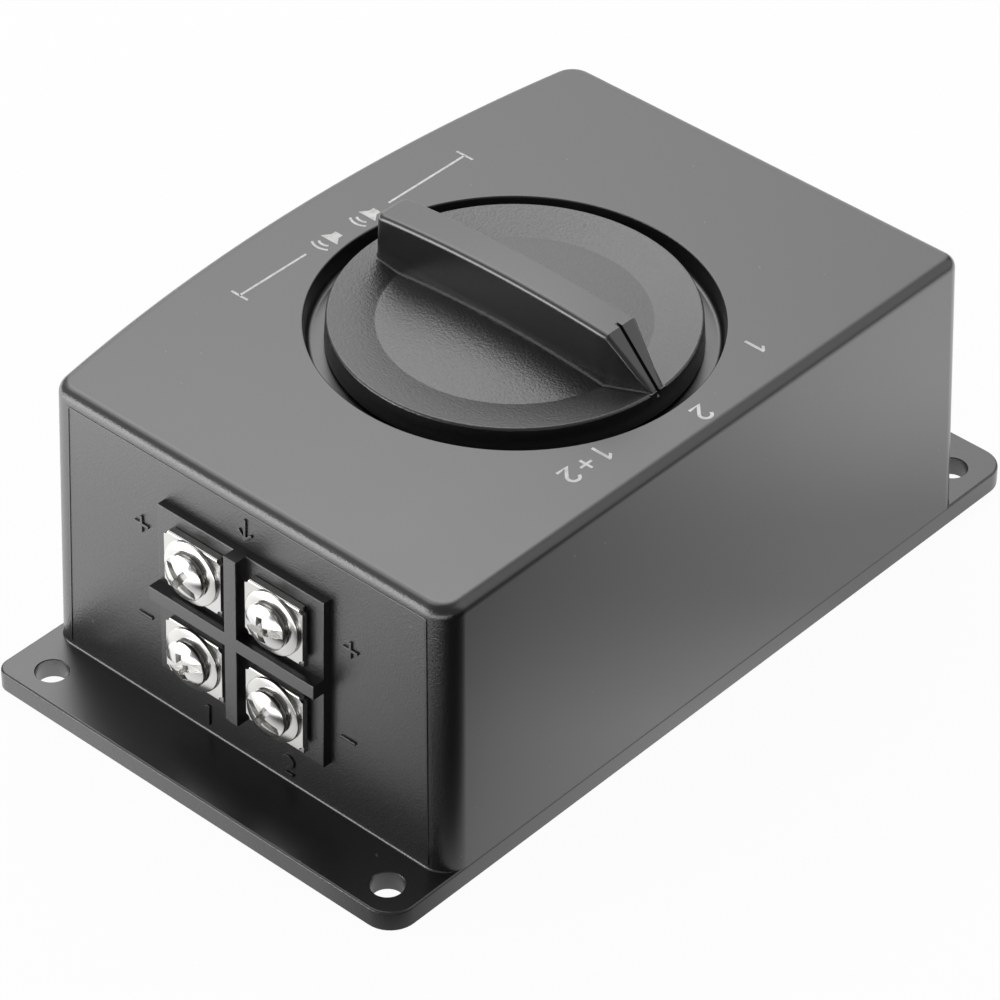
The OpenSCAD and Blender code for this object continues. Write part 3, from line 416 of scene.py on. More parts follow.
def plain_metal(name, tone, gloss, around=False):
    """Turned or rolled metal with fine marks along it."""
    f = new_finish(name)
    grain = f.stretched(1.0, 1.0, 8.0) if around else f.stretched(6.0, 1.0, 1.0)
    marks = f.noise(900.0, 4.0, 0.6, grain)
    cloud = f.noise(160.0, 3.0)
    base = f.blend(cloud, scaled(tone, 0.82), tone)
    return f.surface(base_color=base, metallic=1.0, roughness=gloss + marks * 0.12,
                     normal=f.bump(marks, 0.2, 0.02))


def soft_plastic(name, tone, gloss):
    """Natural or coloured plastic with a faint mottle."""
    f = new_finish(name)
    cloud = f.noise(210.0, 3.0)
    pebble = f.noise(1800.0, 2.0)
    base = f.blend(cloud, scaled(tone, 0.85), scaled(tone, 1.06))
    return f.surface(base_color=base, roughness=gloss + cloud * 0.1, specular_ior_level=0.5,
                     normal=f.bump(pebble, 0.2, 0.02))


def laminate(name):
    """Brown paper laminate, with its paper's cloudy fibres."""
    f = new_finish(name)
    fibre = f.noise(620.0, 6.0, 0.7, f.stretched(1.0, 3.0, 1.0))
    cloud = f.noise(140.0, 3.0)
    pale = f.ramp(fibre * 0.6 + cloud * 0.5, (0.35, 0.0), (0.75, 1.0))
    base = f.blend(pale, (0.16, 0.062, 0.022), (0.32, 0.15, 0.06))
    return f.surface(base_color=base, roughness=0.42 + fibre * 0.15, specular_ior_level=0.5,
                     normal=f.bump(fibre, 0.25, 0.03))


def printed_white(name):
    """White pad-printing ink, a little uneven."""
    f = new_finish(name)
    wear = f.noise(900.0, 4.0, 0.6)
    base = f.blend(f.ramp(wear, (0.3, 0.0), (0.6, 1.0)), (0.62, 0.62, 0.61), (0.86, 0.86, 0.85))
    return f.surface(base_color=base, roughness=0.45 + wear * 0.1, specular_ior_level=0.4,
                     normal=f.bump(wear, 0.15, 0.01))


DEEP_BLACK, DUST = (0.0045, 0.0045, 0.0046), (0.20, 0.195, 0.19)
# The knob is grained up to one height and smooth from the next, in millimetres
GRAIN_TOP_Z, SMOOTH_Z, HEIGHT_SPAN = 42.6, 43.4, 50.0

HOUSING_BLACK = black_moulding("housing_black", DEEP_BLACK, 0.29, "ends")
KNOB_BLACK = black_moulding("knob_black", DEEP_BLACK, 0.28, "disc")
COVER_BLACK = black_moulding("cover_black", (0.02, 0.02, 0.021), 0.42, "ends")
NICKEL = plated("bright_nickel", (0.64, 0.635, 0.62), 0.13)
ZINC = plain_metal("zinc_plated_steel", (0.66, 0.67, 0.68), 0.28)
SPRING = plain_metal("spring_steel", (0.55, 0.56, 0.58), 0.24, around=True)
BRASS = plain_metal("turned_brass", (0.78, 0.58, 0.27), 0.25, around=True)
SILVERED = plain_metal("silvered_contact", (0.82, 0.80, 0.74), 0.22)
NYLON = soft_plastic("white_nylon", (0.78, 0.77, 0.72), 0.40)
LAMINATE = laminate("brown_laminate")
RED_LEAD = soft_plastic("red_insulation", (0.50, 0.025, 0.02), 0.35)
BLACK_LEAD = soft_plastic("black_insulation", (0.02, 0.02, 0.021), 0.38)
INK = printed_white("printed_white")


# ---------------------------------------------------------------- the box

def box_outline(lean, edge):
    """Plan of the box moved in by lean, its edge moved in by a further edge."""
    r = CORNER_R - edge
    cx, cy = BODY_W / 2 - lean - CORNER_R, BODY_L / 2 - lean - CORNER_R
    reach = BOW_R - lean - CORNER_R
    bx = BOW_X - sqrt(reach ** 2 - cy ** 2)
    turn = degrees(asin(cy / reach))
    back = lean + REAR_CORNER_R
    clear = 0.2  # degrees between the bow's end and a corner's
    return (arc(cx, -cy, r, -90, 0, CORNER_STEPS)
            + arc(BODY_W / 2 - back, BODY_L / 2 - back, REAR_CORNER_R - edge, 0, 90, CORNER_STEPS)
            + arc(bx, cy, r, 90, 180 - turn, CORNER_STEPS)
            + arc(BOW_X, 0, BOW_R - lean - edge, 180 - turn + clear, 180 + turn - clear, BOW_STEPS)
            + arc(bx, -cy, r, 180 + turn, 270, CORNER_STEPS))


def plate_outline(inset):
    """Plan of the plate that ends in both flanges, its edge moved in."""
    near, far = FLANGE_R, FLANGE_BOW_R
    x0, x1, y0, y1 = FLANGE_LEFT + far, FLANGE_RIGHT - near, FLANGE_FRONT, FLANGE_REAR
    return (arc(x1, y0 + near, near - inset, -90, 0, 10)
            + arc(x1, y1 - near, near - inset, 0, 90, 10)
            + arc(x0, y1 - far, far - inset, 90, 180, 8)
            + arc(x0, y0 + far, far - inset, 180, 270, 8))


def flared(lean, flare):
    """Plan of the box with its end walls, and its corners in part, moved out by a flare."""
    return [(x, y) for (x, _), (_, y) in zip(box_outline(lean, 0), box_outline(lean, -flare))]


def level(outline, z):
    return [(x, y, z) for x, y in outline]


def shell():
    """Outside of the box: drafted walls, a small fillet over the flanges, a rounded top edge."""
    top_lean = DRAFT * (BODY_H - TOP_EDGE_R) / BODY_H
    sunk = 0.06  # depth of the fillet's foot in the flange
    rings = [level(box_outline(0, 0), 0),
             level(flared(DRAFT * FLANGE_T / BODY_H, FOOT_R), FLANGE_T - sunk)]
    for i in range(1, FOOT_STEPS + 1):
        a = radians(90 * i / FOOT_STEPS)
        z = FLANGE_T + FOOT_R * (1 - cos(a))
        rings.append(level(flared(DRAFT * z / BODY_H, FOOT_R * (1 - sin(a))), z))
    for i in range(EDGE_STEPS + 1):
        a = radians(90 * i / EDGE_STEPS)
        rings.append(level(box_outline(top_lean, TOP_EDGE_R * (1 - cos(a))),
                           BODY_H - TOP_EDGE_R + TOP_EDGE_R * sin(a)))
    return loft("shell", rings)


def flanges():
    """Both flanges in one plate under the box, with a rounded upper edge."""
    rings = [level(plate_outline(0), 0)]
    for i in range(5):
        a = radians(22.5 * i)
        rings.append(level(plate_outline(FLANGE_EDGE * (1 - cos(a))),
                           FLANGE_T - FLANGE_EDGE + FLANGE_EDGE * sin(a)))
    return loft("flanges", rings)


def cavity():
    """Room inside the box, round the recess's drum, the well and the screw bosses."""
    room = prism("room", box_outline(DRAFT + WALL_T, 0), COVER_TOP - COVER_STEP, CAVITY_TOP)
    kept = [drum("recess_drum", RECESS_R + RECESS_T, RECESS_Z - RECESS_T, BODY_H, steps=128),
            drum("well_tube", WELL_R + WELL_T, WELL_FOOT_Z, BODY_H, steps=96)]
    kept += [drum("boss", BOSS_R, COVER_TOP, BODY_H, sx * BOSS_X, sy * BOSS_Y, 48)
             for sx, sy in CORNERS]
    return cut(room, *kept)


def recess():
    """Round room for the knob, with a fillet at its floor and a soft lip at the top."""
    lip = RECESS_LIP
    profile = [(0, RECESS_Z)]
    profile += arc(RECESS_R - RECESS_DRAFT - RECESS_FILLET, RECESS_Z + RECESS_FILLET, RECESS_FILLET,
                   -90, 0, 6)
    profile += [(RECESS_R + lip - lip * cos(radians(a)), BODY_H - lip + lip * sin(radians(a)))
                for a in (0, 30, 60, 90)]
    profile += [(RECESS_R + lip, BODY_H + PAST), (0, BODY_H + PAST)]
    return spun("recess", profile, 192)


def terminal_block(rear):
    """Raised plate of a wall's terminals, with barrier ribs between them."""
    columns = REAR_COLUMNS if rear else FRONT_COLUMNS
    x0, x1 = columns[0] - BLOCK_MARGIN, columns[-1] + BLOCK_MARGIN
    y0, y1 = ROW_Z - BLOCK_H / 2, ROW_Z + BLOCK_H / 2
    half, front = RIB_T / 2, BLOCK_T + RIB_RISE
    parts = [slab("block", (x0, y0, -WALL_T), (x1, y1, BLOCK_T), BLOCK_EDGE),
             slab("rib", (x0, ROW_Z - half, -PAST), (x1, ROW_Z + half, front), RIB_EDGE)]
    for a, b in zip(columns, columns[1:]):
        middle = (a + b) / 2
        parts.append(slab("rib", (middle - half, y0, -PAST), (middle + half, y1, front),
                          RIB_EDGE))
    return place(add(*parts), on_wall(rear))


def terminal_holes(rear):
    """The collars' round holes and the solder tails' slots."""
    holes = []
    side = TAIL_W / 2 + HOLE_FIT
    for spot in terminal_places(rear):
        collar_hole = drum("collar_hole", COLLAR_R + HOLE_FIT, -COLLAR_L - WALL_T - PAST, PAST,
                           steps=48)
        tail_slot = slab("tail_slot", (-side, -CONTACT_FOOT - HOLE_FIT, -TAIL_L),
                         (side, -CONTACT_FOOT + CONTACT_T + HOLE_FIT, PAST))
        holes += [place(collar_hole, spot), place(tail_slot, spot)]
    return holes


def mount_hole(x, y):
    """Screw hole through a flange, with a broken upper edge."""
    wide, top = MOUNT_R + MOUNT_LIP, FLANGE_T + PAST
    profile = [(0, -PAST), (MOUNT_R, -PAST), (MOUNT_R, FLANGE_T - MOUNT_LIP), (wide, FLANGE_T),
               (wide, top), (0, top)]
    return place(spun("mount_hole", profile, 64), at(x, y))


def housing():
    """The box with its flanges, recess, well, terminal blocks and bosses, in one moulding."""
    body = add(shell(), flanges())
    cut(body, cavity(), prism("cover_seat", box_outline(COVER_RIM, 0), -PAST, COVER_TOP))
    add(body, terminal_block(False), terminal_block(True))
    low, high = WELL_FOOT_Z - PAST, WELL_Z + PAST
    cut(body, recess(), drum("well", WELL_R, WELL_Z, BODY_H, steps=96),
        drum("bushing_hole", BUSHING_HOLE_R, low, high),
        drum("lug_hole", LUG_HOLE_R, low, high, LUG_HOLE_X, steps=32))
    cut(body, *terminal_holes(False), *terminal_holes(True))
    cut(body, *[mount_hole(sx * MOUNT_X, sy * MOUNT_Y) for sx, sy in CORNERS])
    cut(body, *[drum("pilot", PILOT_R, COVER_TOP - PAST, COVER_TOP + PILOT_DEPTH,
                     sx * BOSS_X, sy * BOSS_Y, 32) for sx, sy in CORNERS])
    body.name = "housing_moulding"
    return dress(shade(body), HOUSING_BLACK, "housing_plastic", "base", "housing")


# ---------------------------------------------------------------- the knob

def disc_height(x, y):
    """Height of the knob's upper face: dome inside, sloping ring outside."""
    r = hypot(x, y)
    if r < DOME_R:
        return DOME_Z + DOME_RISE - DOME_BALL + sqrt(DOME_BALL ** 2 - r ** 2)
    return DOME_Z + (RIM_Z - DOME_Z) * (r - DOME_R) / (KNOB_R - RIM_SOFT - DOME_R)


def bar_height(x):
    """Height of the bar's top: a long arch, then the slope of the pointer."""
    if x < NOSE_X:
        return BAR_TOP_Z - BAR_ARCH + sqrt(BAR_ARCH ** 2 - x ** 2)
    return NOSE_Z + (RIM_Z - NOSE_Z) * (x - NOSE_X) / (TIP_X - NOSE_X)


def bar_ring(offset, height):
    """Plan of the bar grown by offset, at the height that a function of the place gives."""
    corner, half, tip_half = BAR_CORNER + offset, BAR_HALF + offset, TIP_HALF + offset
    side = [(TIP_X + 0.4 * offset, tip_half)]
    side += [(TIP_X - d, tip_half + d * NOSE_TAPER) for d in (2, 4)] + [(NOSE_X, half)]
    side += [(x, half) for x in [*range(15, -18, -2), BAR_SIDE_END]]
    side += arc(corner - BAR_TAIL - offset, half - corner, corner, 90, 180, 6)
    placed = []
    for x, y in side + [(x, -y) for x, y in reversed(side)]:
        z = height(x, y)
        if x < BAR_SIDE_END:
            x += BAR_LEAN * max(0.0, z - DOME_Z) / (BAR_TOP_Z - DOME_Z)
        placed.append((x, y, z))
    return placed


def finger_bar():
    """Bar with a small fillet at its foot and rounded edges, closed by strips across it."""
    soft, foot, root, skim = BAR_EDGE, BAR_FOOT, 1.2, 0.02
    rings = [bar_ring(foot, lambda x, y: DOME_Z - root),
             bar_ring(foot, lambda x, y: disc_height(x, y) - skim)]
    for a in map(radians, (30, 60, 90)):
        rings.append(bar_ring(foot - foot * sin(a), lambda x, y, a=a: min(
            disc_height(x, y) + foot * (1 - cos(a)),
            max(bar_height(x) - soft, disc_height(x, y) + skim / 2))))
    for a in map(radians, (0, 18, 36, 54, 72, 90)):
        rings.append(bar_ring(-soft * (1 - cos(a)), lambda x, y, a=a: max(
            bar_height(x) - soft + soft * sin(a), disc_height(x, y) + skim)))
    points, faces = skin(rings)
    n = len(rings[0])
    for start in (0, (len(rings) - 1) * n):
        faces += [(start + k, start + k + 1, start + n - 2 - k, start + n - 1 - k)
                  for k in range(n // 2 - 1)]
    return make("finger_bar", points, faces)


def knob():
    """Disc with its skirt and dome, finger bar, pointer groove and hub, in one moulding."""
    rim = arc(KNOB_R - RIM_SOFT, RIM_Z - RIM_SOFT, RIM_SOFT, 0, 90, 6)
    radii = [DOME_R + DOME_STEP, DOME_R, DOME_R - DOME_STEP]
    radii += [DOME_R * i / 14 for i in range(13, -1, -1)]
    dome = [(r, disc_height(r, 0)) for r in radii]
    inside, under = SKIRT_R - KNOB_T, DOME_Z - KNOB_T
    profile = [(0, under), (inside, under), (inside, SKIRT_Z), (SKIRT_R - SKIRT_EDGE, SKIRT_Z),
               (SKIRT_R, SKIRT_Z + SKIRT_EDGE)] + rim + dome
    body = add(spun("disc", profile, 192), drum("hub", HUB_R, HUB_Z, DOME_Z), finger_bar())
    run, fall = TIP_X - NOSE_X, NOSE_Z - RIM_Z
    groove = slab("groove", (-PAST, -GROOVE_W / 2, -GROOVE_DEPTH),
                  (hypot(run, fall) + PAST, GROOVE_W / 2, 2 * PAST))
    place(groove, at(NOSE_X, 0, NOSE_Z) @ Matrix.Rotation(atan(fall / run), 4, "Y"))
    wide = 3 * BORE_R
    bore = cut(drum("bore", BORE_R, HUB_Z - PAST, BORE_TOP_Z, steps=48),
               slab("flat", (FLAT_X, -wide, HUB_Z - 3 * PAST), (wide, wide, BORE_TOP_Z + 3 * PAST)))
    outer, ring_top = HUB_R + PAST, RING_Z + RING_H
    seat = spun("ring_seat", [(RING_R, RING_Z), (outer, RING_Z), (outer, ring_top),
                              (RING_R, ring_top)], 64)
    cut(body, groove, bore, seat)
    body.name = "knob_moulding"
    return dress(shade(body, 28), KNOB_BLACK, "knob_plastic", "selector", "knob")


# ----------------------------------------------------------- the terminals

def contact():
    """Contact plate with its threaded collar and the solder tail bent back from its foot."""
    inner, eye_reach, thread_reach = 0.2, 3, 5
    plate = slab("contact", (-CONTACT_W / 2, -CONTACT_FOOT, 0),
                 (CONTACT_W / 2, CONTACT_TOP, CONTACT_T), CONTACT_EDGE)
    tail = slab("tail", (-TAIL_W / 2, -CONTACT_FOOT, -TAIL_L),
                (TAIL_W / 2, -CONTACT_FOOT + CONTACT_T, inner))
    add(plate, tail, drum("collar", COLLAR_R, -COLLAR_L, inner, steps=48))
    eye = place(drum("eye", EYE_R, -eye_reach, eye_reach, steps=24),
                at(0, -CONTACT_FOOT, -TAIL_L + EYE_IN) @ Matrix.Rotation(pi / 2, 4, "X"))
    return cut(plate, eye, drum("thread", SCREW_R + THREAD_FIT, -thread_reach, 2 * PAST, steps=48))


def clamp():
    """Sheet clamp with its upper edge turned back and a notch at each corner."""
    top, face, side = CLAMP_H / 2, WASHER_Z, CLAMP_W / 2
    low, high = -2 * PAST, 3 * PAST
    profile = [(-top, CONTACT_T), (-top, face)]
    profile += arc(top - CLAMP_BEND, face - CLAMP_BEND, CLAMP_BEND, 90, 0, 5)
    profile += [(top, CLAMP_LIFT), (top - CLAMP_T, CLAMP_LIFT), (top - CLAMP_T, CONTACT_T)]
    sheet = loft("clamp", [[(x, y, z) for y, z in profile] for x in (-side, side)])
    notches = [drum("notch", CLAMP_NOTCH, low, high, sx * side, sy * top, 32) for sx, sy in CORNERS]
    trims = [slab("trim", (sx * side - CLAMP_NOTCH, top - CLAMP_TRIM, -PAST),
                  (sx * side + CLAMP_NOTCH, top + PAST, CONTACT_T)) for sx in (-1, 1)]
    cut(sheet, *notches, *trims, drum("clearance", SCREW_R + HOLE_FIT, low, high, steps=48))
    return soften(sheet, 0.07)


def dished_washer():
    """Round washer whose middle stands up under the screw's head."""
    inner, flat, rim, e = SCREW_R + HOLE_FIT, HEAD_R - WASHER_FLAT, WASHER_R, WASHER_EDGE
    low, high, up = WASHER_Z, WASHER_Z + WASHER_T, WASHER_DISH
    return spun("washer", [(inner, low + up), (flat, low + up), (rim - e, low), (rim, low + e),
                           (rim, high - e), (rim - 0.4 * e, high - 0.3 * e), (rim - e, high),
                           (flat, high + up), (inner, high + up)])


def screw():
    """Pan head with a slot and a shorter, deeper arm across it."""
    crown = HEAD_H / 2
    crown_r = (HEAD_R ** 2 + crown ** 2) / (2 * crown)
    turn = degrees(asin(HEAD_R / crown_r))
    point, top = HEAD_Z - SCREW_L, HEAD_Z + HEAD_H
    profile = [(0, point), (SCREW_R - SCREW_POINT, point), (SCREW_R, point + SCREW_POINT),
               (SCREW_R, HEAD_Z), (HEAD_R - HEAD_EDGE, HEAD_Z), (HEAD_R, HEAD_Z + HEAD_EDGE)]
    profile += arc(0, top - crown_r, crown_r, 90 - turn, 90, 12)
    half, arm_half, wide = SLOT_W / 2, HEAD_R * CROSS_SHARE, 3 * HEAD_R
    slot = slab("slot", (-wide, -half, top - SLOT_DEPTH), (wide, half, top + PAST))
    arm = slab("arm", (-half, -arm_half, top - SLOT_DEPTH * CROSS_DEPTH),
               (half, arm_half, top + PAST))
    return soften(cut(spun("screw", profile), slot, arm), 0.06)


def terminals(rear):
    """A wall's contacts, clamps, washers and screws, each kind in one mesh."""
    kind = "output" if rear else "input"
    for part, maker, spin in (("contacts", contact, None), ("clamps", clamp, None),
                              ("washers", dished_washer, None),
                              ("screws", screw, SCREW_TURNS[rear])):
        piece = copies(f"{kind}_{part}_plated", maker(), terminal_places(rear, spin))
        dress(shade(piece, 35), NICKEL, "nickel_plate", "base", f"{kind}_{part}")


# ------------------------------------------------------------------- marks

# Printing on the top
PRINT_H, PRINT_W, PRINT_FINE = 3.0, 0.42, 0.34
PRINT_PLUS_H, PRINT_PLUS_W = 2.0, 0.38
PRINT_RISE, PRINT_ROOT = 0.012, 0.01

# Moulded signs and parting lines on the end walls
SIGN_RISE, SIGN_ROOT, SIGN_EDGE = 0.28, 0.1, 0.08
SIGN_W, PLUS_Z, MINUS_Z = 0.38, 28.7, 15.0
ARROW_H, ARROW_X, ARROW_Z = 3.2, 0.5, 37.0
FIGURE_H, FIGURE_W, FIGURE_Z = 3.0, 0.5, 5.4
PARTING_W, PARTING_RISE, PARTING_ROOT, PARTING_EDGE = 0.2, 0.10, 0.05, 0.07


def ribbon(line, width):
    """Outline of a line of constant width with square ends."""
    left, right = [], []
    for i, (x, y) in enumerate(line):
        ax, ay = line[max(i - 1, 0)]
        bx, by = line[min(i + 1, len(line) - 1)]
        d = hypot(bx - ax, by - ay)
        nx, ny = -(by - ay) / d, (bx - ax) / d
        if 0 < i < len(line) - 1:
            ex, ey = x - ax, y - ay
            mitre = max(0.4, (ny * ex - nx * ey) / hypot(ex, ey))
            nx, ny = nx / mitre, ny / mitre
        left.append((x + nx * width / 2, y + ny * width / 2))
        right.append((x - nx * width / 2, y - ny * width / 2))
    return left + right[::-1]


def figure_one(h, w):
    top, out = h / 2, 0.27 * h
    return [[(-w / 2, -top), (w / 2, -top), (w / 2, top), (-0.35 * w, top),
             (-out - 0.1 * w, 0.30 * h), (-out + 0.25 * w, 0.30 * h - 0.85 * w),
             (-w / 2, top - 1.35 * w)]]


def figure_two(h, w):
    r, foot = 0.26 * h, -0.5 * h + w / 2
    return [ribbon(arc(0, -foot - r, r, 165, -35, 10) + [(-r, foot), (r + w / 4, foot)], w)]


def plus_sign(h, w):
    a, b = h / 2, w / 2
    return [[(-a, -b), (-b, -b), (-b, -a), (b, -a), (b, -b), (a, -b),
             (a, b), (b, b), (b, a), (-b, a), (-b, b), (-a, b)]]


def minus_sign(h, w):
    return [[(-h / 2, -w / 2), (h / 2, -w / 2), (h / 2, w / 2), (-h / 2, w / 2)]]


def arrow_down(h, w):
    """Arrow drawn with strokes of one width, for the side that the terminals feed."""
    a, tip, barb, lift = w / 2, -h / 2, 0.38 * h, w * 0.707
    half = [(barb, tip + barb), (barb - lift, tip + barb + lift), (a, tip + 2 * lift + a),
            (a, h / 2)]
    return [[(0, tip)] + half + [(-x, y) for x, y in half[::-1]]]


def moved(shapes, x, y, turn=0.0):
    c, s = cos(radians(turn)), sin(radians(turn))
    return [[(x + px * c - py * s, y + px * s + py * c) for px, py in shape] for shape in shapes]


def raised(name, shapes, rise, root, bevel=0.0):
    """Flat shapes standing up from a face and rooted in it, in one mesh."""
    build = bmesh.new()
    for shape in shapes:
        piece = prism(name, shape, -root, rise)
        build.from_mesh(piece.data)
        discard(piece)
    mesh = bpy.data.meshes.new(name)
    build.to_mesh(mesh)
    build.free()
    whole = bpy.data.objects.new(name, mesh)
    scene.collection.objects.link(whole)
    return soften(whole, bevel) if bevel else whole


def top_print():
    """Position figures round the dial and a sign for loudspeakers beside it."""
    one, two = figure_one(PRINT_H, PRINT_W), figure_two(PRINT_H, PRINT_W)
    plus = plus_sign(PRINT_PLUS_H, PRINT_PLUS_W)
    shapes = []
    for sign, x, y in ((one, 24.9, 15.3), (two, 28.7, 1.2), (one, 25.1, -12.7),
                       (plus, 25.1, -15.4), (two, 25.1, -18.2)):
        shapes += moved(sign, x, y, -90)
    shapes += speaker_signs(-27.8, 1.1)
    piece = raised("top_print", shapes, PRINT_RISE, PRINT_ROOT)
    place(piece, at(0, 0, BODY_H))
    return dress(piece, INK, "housing_plastic", "base")


def speaker_signs(x, y):
    """Two loudspeakers with sound arcs, between two plain lines with end ticks."""
    half_cone = [(-1.5, 0.62), (-0.75, 0.62), (0.35, 1.45)]
    cone = [[(a, -b) for a, b in half_cone] + half_cone[::-1]]
    waves = [ribbon(arc(0.2, 0, r, -38, 38, 10), PRINT_FINE) for r in (1.35, 2.2)]
    signs = moved(cone + waves, x, y + 2.6, -90) + moved(cone + waves, x, y - 4.2, -90)
    reach, tick = 20.2, 1.4
    lines = [ribbon([(x, y + a), (x, y + b)], PRINT_FINE)
             for a, b in ((6.2, reach), (-reach, -8.6))]
    ends = [ribbon([(x - tick, y + a), (x + tick, y + a)], PRINT_FINE) for a in (reach, -reach)]
    return signs + lines + ends


def wall_marks(rear):
    """Moulded signs round a terminal block."""
    high, half, middle, inset = (1.7, 28.05, 0.0, 0.0) if rear else (2.4, 17.1, 0.3, 0.3)
    shapes = []
    for s in (-1, 1):
        shapes += moved(plus_sign(high, SIGN_W), middle + s * half, PLUS_Z)
        shapes += moved(minus_sign(high, SIGN_W), middle + s * (half - inset), MINUS_Z)
    shapes += moved(arrow_down(ARROW_H, SIGN_W), ARROW_X, ARROW_Z)
    columns = REAR_COLUMNS if rear else FRONT_COLUMNS
    for i, x in enumerate(columns):
        figure = figure_one if i < len(columns) / 2 else figure_two
        shapes += moved(figure(FIGURE_H, FIGURE_W), x, FIGURE_Z)
    piece = raised("rear_signs" if rear else "front_signs", shapes, SIGN_RISE, SIGN_ROOT,
                   SIGN_EDGE)
    place(piece, on_wall(rear))
    return dress(shade(piece, 35), HOUSING_BLACK, "housing_plastic", "base")


def parting_lines(rear):
    """Fine lines that the mould's slides leave on an end wall."""
    foot_x, foot_z = BODY_W / 2 - 3.1, FLANGE_T + 0.7
    high_x, high_z = BODY_W / 2 - 4.05, BODY_H - TOP_EDGE_R - 0.35
    corners = [(-foot_x, foot_z), (-high_x, high_z), (high_x, high_z), (foot_x, foot_z)]
    shapes = [ribbon([start, end], PARTING_W) for start, end in zip(corners, corners[1:])]
    piece = raised("rear_parting_line" if rear else "front_parting_line", shapes,
                   PARTING_RISE, PARTING_ROOT, PARTING_EDGE)
    place(piece, on_wall(rear))
    return dress(piece, HOUSING_BLACK, "housing_plastic", "base")


# --------------------------------------------- pieces that keep their CAD shape

CAD_FINISHES = {
    "bottom_cover": COVER_BLACK, "cover_screws": ZINC, "knob_spring_ring": SPRING,
    "switch_shaft": ZINC, "shaft_clip": SPRING, "switch_bushing": BRASS, "lock_washer": SPRING,
    "bushing_nut": BRASS, "index_plate": ZINC, "detent_ring": NYLON, "detent_rotor": NYLON,
    "detent_springs": SPRING, "detent_balls": SPRING,
    "upper_spacers": ZINC, "lower_spacers": ZINC, "upper_wafer": LAMINATE, "lower_wafer": LAMINATE,
    "upper_clips": SILVERED, "lower_clips": SILVERED, "upper_rotor": NYLON, "lower_rotor": NYLON,
    "upper_blades": SILVERED, "lower_blades": SILVERED, "tie_studs": ZINC, "tie_nuts": ZINC,
    "red_leads": RED_LEAD, "black_leads": BLACK_LEAD,
}


def finish_cad_nodes():
    for name, finish in CAD_FINISHES.items():
        for spot in nodes[name].material_slots:
            spot.material = finish


# ------------------------------------------------------------------- studio

def floor():
    """White table: it glows for the camera; in reflections it shows a painted glow, with painted
    shade that darkens it towards the camera, a painted shaded band across it and a painted bright
    part far off.
    """
    f = new_finish("white_table")
    tint = f.blend(f.noise(3.0, 2.0), (0.90, 0.90, 0.90), (0.93, 0.93, 0.93))
    paper = f.node("BsdfDiffuse", None, {"Color": tint})
    spot = f.node("NewGeometry", output="Position")
    # Dot products that run from 0 to 1 within about 0.1 m of the box
    side, along, ahead = [
        f.node("VectorMath", {"operation": "DOT_PRODUCT"}, {0: spot, 1: way}, output="Value")
        for way in ((7.4, -6.7, 0.0), (6.7, 7.4, 0.0), (-2.0, -7.0, 0.0))]
    # Painted shade and light for reflections: darker towards the camera, a darker band across,
    # brighter far off
    fall = f.ramp(side, (0.0, 1.0), (0.10, 0.97), (0.30, 0.76), (0.54, 0.50), (0.60, 0.26),
                  (0.66, 0.04), (0.80, 0.004))
    painted_shade_band = f.ramp(along, (0.18, 1.0), (0.42, 0.60), (0.60, 0.60), (0.85, 1.0))
    far = f.ramp(ahead, (0.70, 0.0), (0.98, 1.0))
    tone = f.blend(far, fall * painted_shade_band, (1.8, 1.8, 1.8))
    # Painted reflection: a glow that only glossy rays see, shaded by the ramps above
    painted_reflection = f.node("Emission", None, {"Color": tone, "Strength": 1.65})
    glow = f.node("Emission", None, {"Color": (1, 1, 1, 1), "Strength": 1.0})
    seen, through, mirrored = [f.node("LightPath", output=f"Is {ray} Ray")
                               for ray in ("Camera", "Transmission", "Glossy")]
    lit_paper_and_painted_reflection = f.node("MixShader", None, {0: mirrored * 0.97, 1: paper, 2: painted_reflection})
    whole = f.node("MixShader", None, {0: (seen + through) * 0.96, 1: lit_paper_and_painted_reflection, 2: glow})
    f.node("OutputMaterial", None, {0: whole})
    reach, under = 6000.0, -0.05
    corners = [(-reach, -reach), (reach, -reach), (reach, reach), (-reach, reach)]
    table = make("white_table", level(corners, under), [(0, 1, 2, 3)])
    table.data.materials.append(f.owner)


LIT_POINT = Vector((0, 0, 0.02))  # what the softboxes aim at, in metres

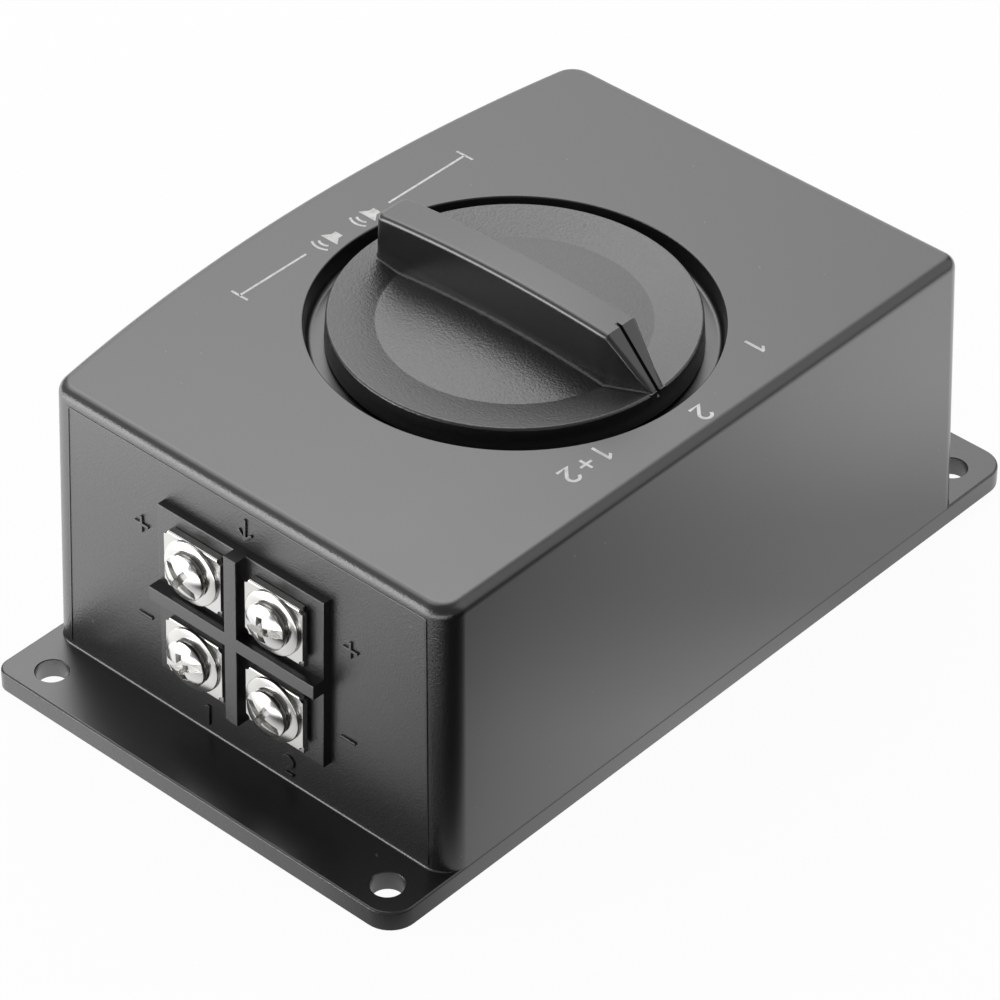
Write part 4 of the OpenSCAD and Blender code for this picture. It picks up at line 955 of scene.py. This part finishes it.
# Name, direction, distance, width, height and radiance
SOFTBOXES = [
    ("rear_left_softbox", (-0.55, 0.63, 0.54), 0.9, 0.9, 0.9, 1.25),
    ("high_left_softbox", (-0.45, 0.18, 0.87), 0.8, 0.68, 0.58, 1.4),
    ("left_softbox", (-0.82, 0.12, 0.56), 0.9, 0.6, 0.6, 0.4),
    ("front_left_softbox", (-0.62, -0.55, 0.62), 0.9, 0.6, 0.6, 0.3),
    ("low_front_strip", (-0.54, -0.81, 0.18), 0.8, 0.56, 0.31, 4.6),
    ("right_softbox", (0.52, 0.62, 0.58), 0.9, 0.9, 0.9, 0.6),
]


def softbox(name, direction, distance, width, height, radiance):
    """Rectangular lamp that faces the box, with the power that gives it a radiance."""
    lamp = bpy.data.lights.new(name, "AREA")
    lamp.shape, lamp.size, lamp.size_y = "RECTANGLE", width, height
    lamp.energy = radiance * pi * width * height
    light = bpy.data.objects.new(name, lamp)
    aim = Vector(direction).normalized()
    light.location = aim * distance + LIT_POINT
    light.rotation_euler = aim.to_track_quat("Z", "Y").to_euler()
    scene.collection.objects.link(light)


def studio():
    floor()
    for lamp in SOFTBOXES:
        softbox(*lamp)
    f = Finish(bpy.data.worlds.new("studio"))
    dim = f.node("Background", None, {"Color": (1, 1, 1, 1), "Strength": 0.22})
    white = f.node("Background", None, {"Color": (1, 1, 1, 1), "Strength": 1.0})
    seen = f.node("LightPath", output="Is Camera Ray")
    f.node("OutputWorld", None, {0: f.node("MixShader", None, {0: seen, 1: dim, 2: white})})
    scene.world = f.owner


CAMERA_PLACE = (0.31719, -0.35324, 0.39445)
CAMERA_TURN = Vector((2.1230384079386453, 0.8225820413274824, -0.39044891636321977))
SENSOR_W, FOCAL_LENGTH = 36.0, 176.28


def camera():
    """The photograph's place and lens, from a fit to the box's corners."""
    axes = Matrix.Rotation(CAMERA_TURN.length, 3, CAMERA_TURN.normalized())
    lens = bpy.data.cameras.new("camera")
    lens.sensor_width, lens.lens = SENSOR_W, FOCAL_LENGTH
    lens.clip_start, lens.clip_end = 0.01, 50.0
    view = bpy.data.objects.new("camera", lens)
    view.matrix_world = (Matrix.Translation(CAMERA_PLACE)
                         @ Matrix((axes[0], -axes[1], -axes[2])).transposed().to_4x4())
    scene.collection.objects.link(view)
    scene.camera = view


camera()
studio()
finish_cad_nodes()
housing()
knob()
for rear_side in (False, True):
    terminals(rear_side)
    wall_marks(rear_side)
    parting_lines(rear_side)
top_print()
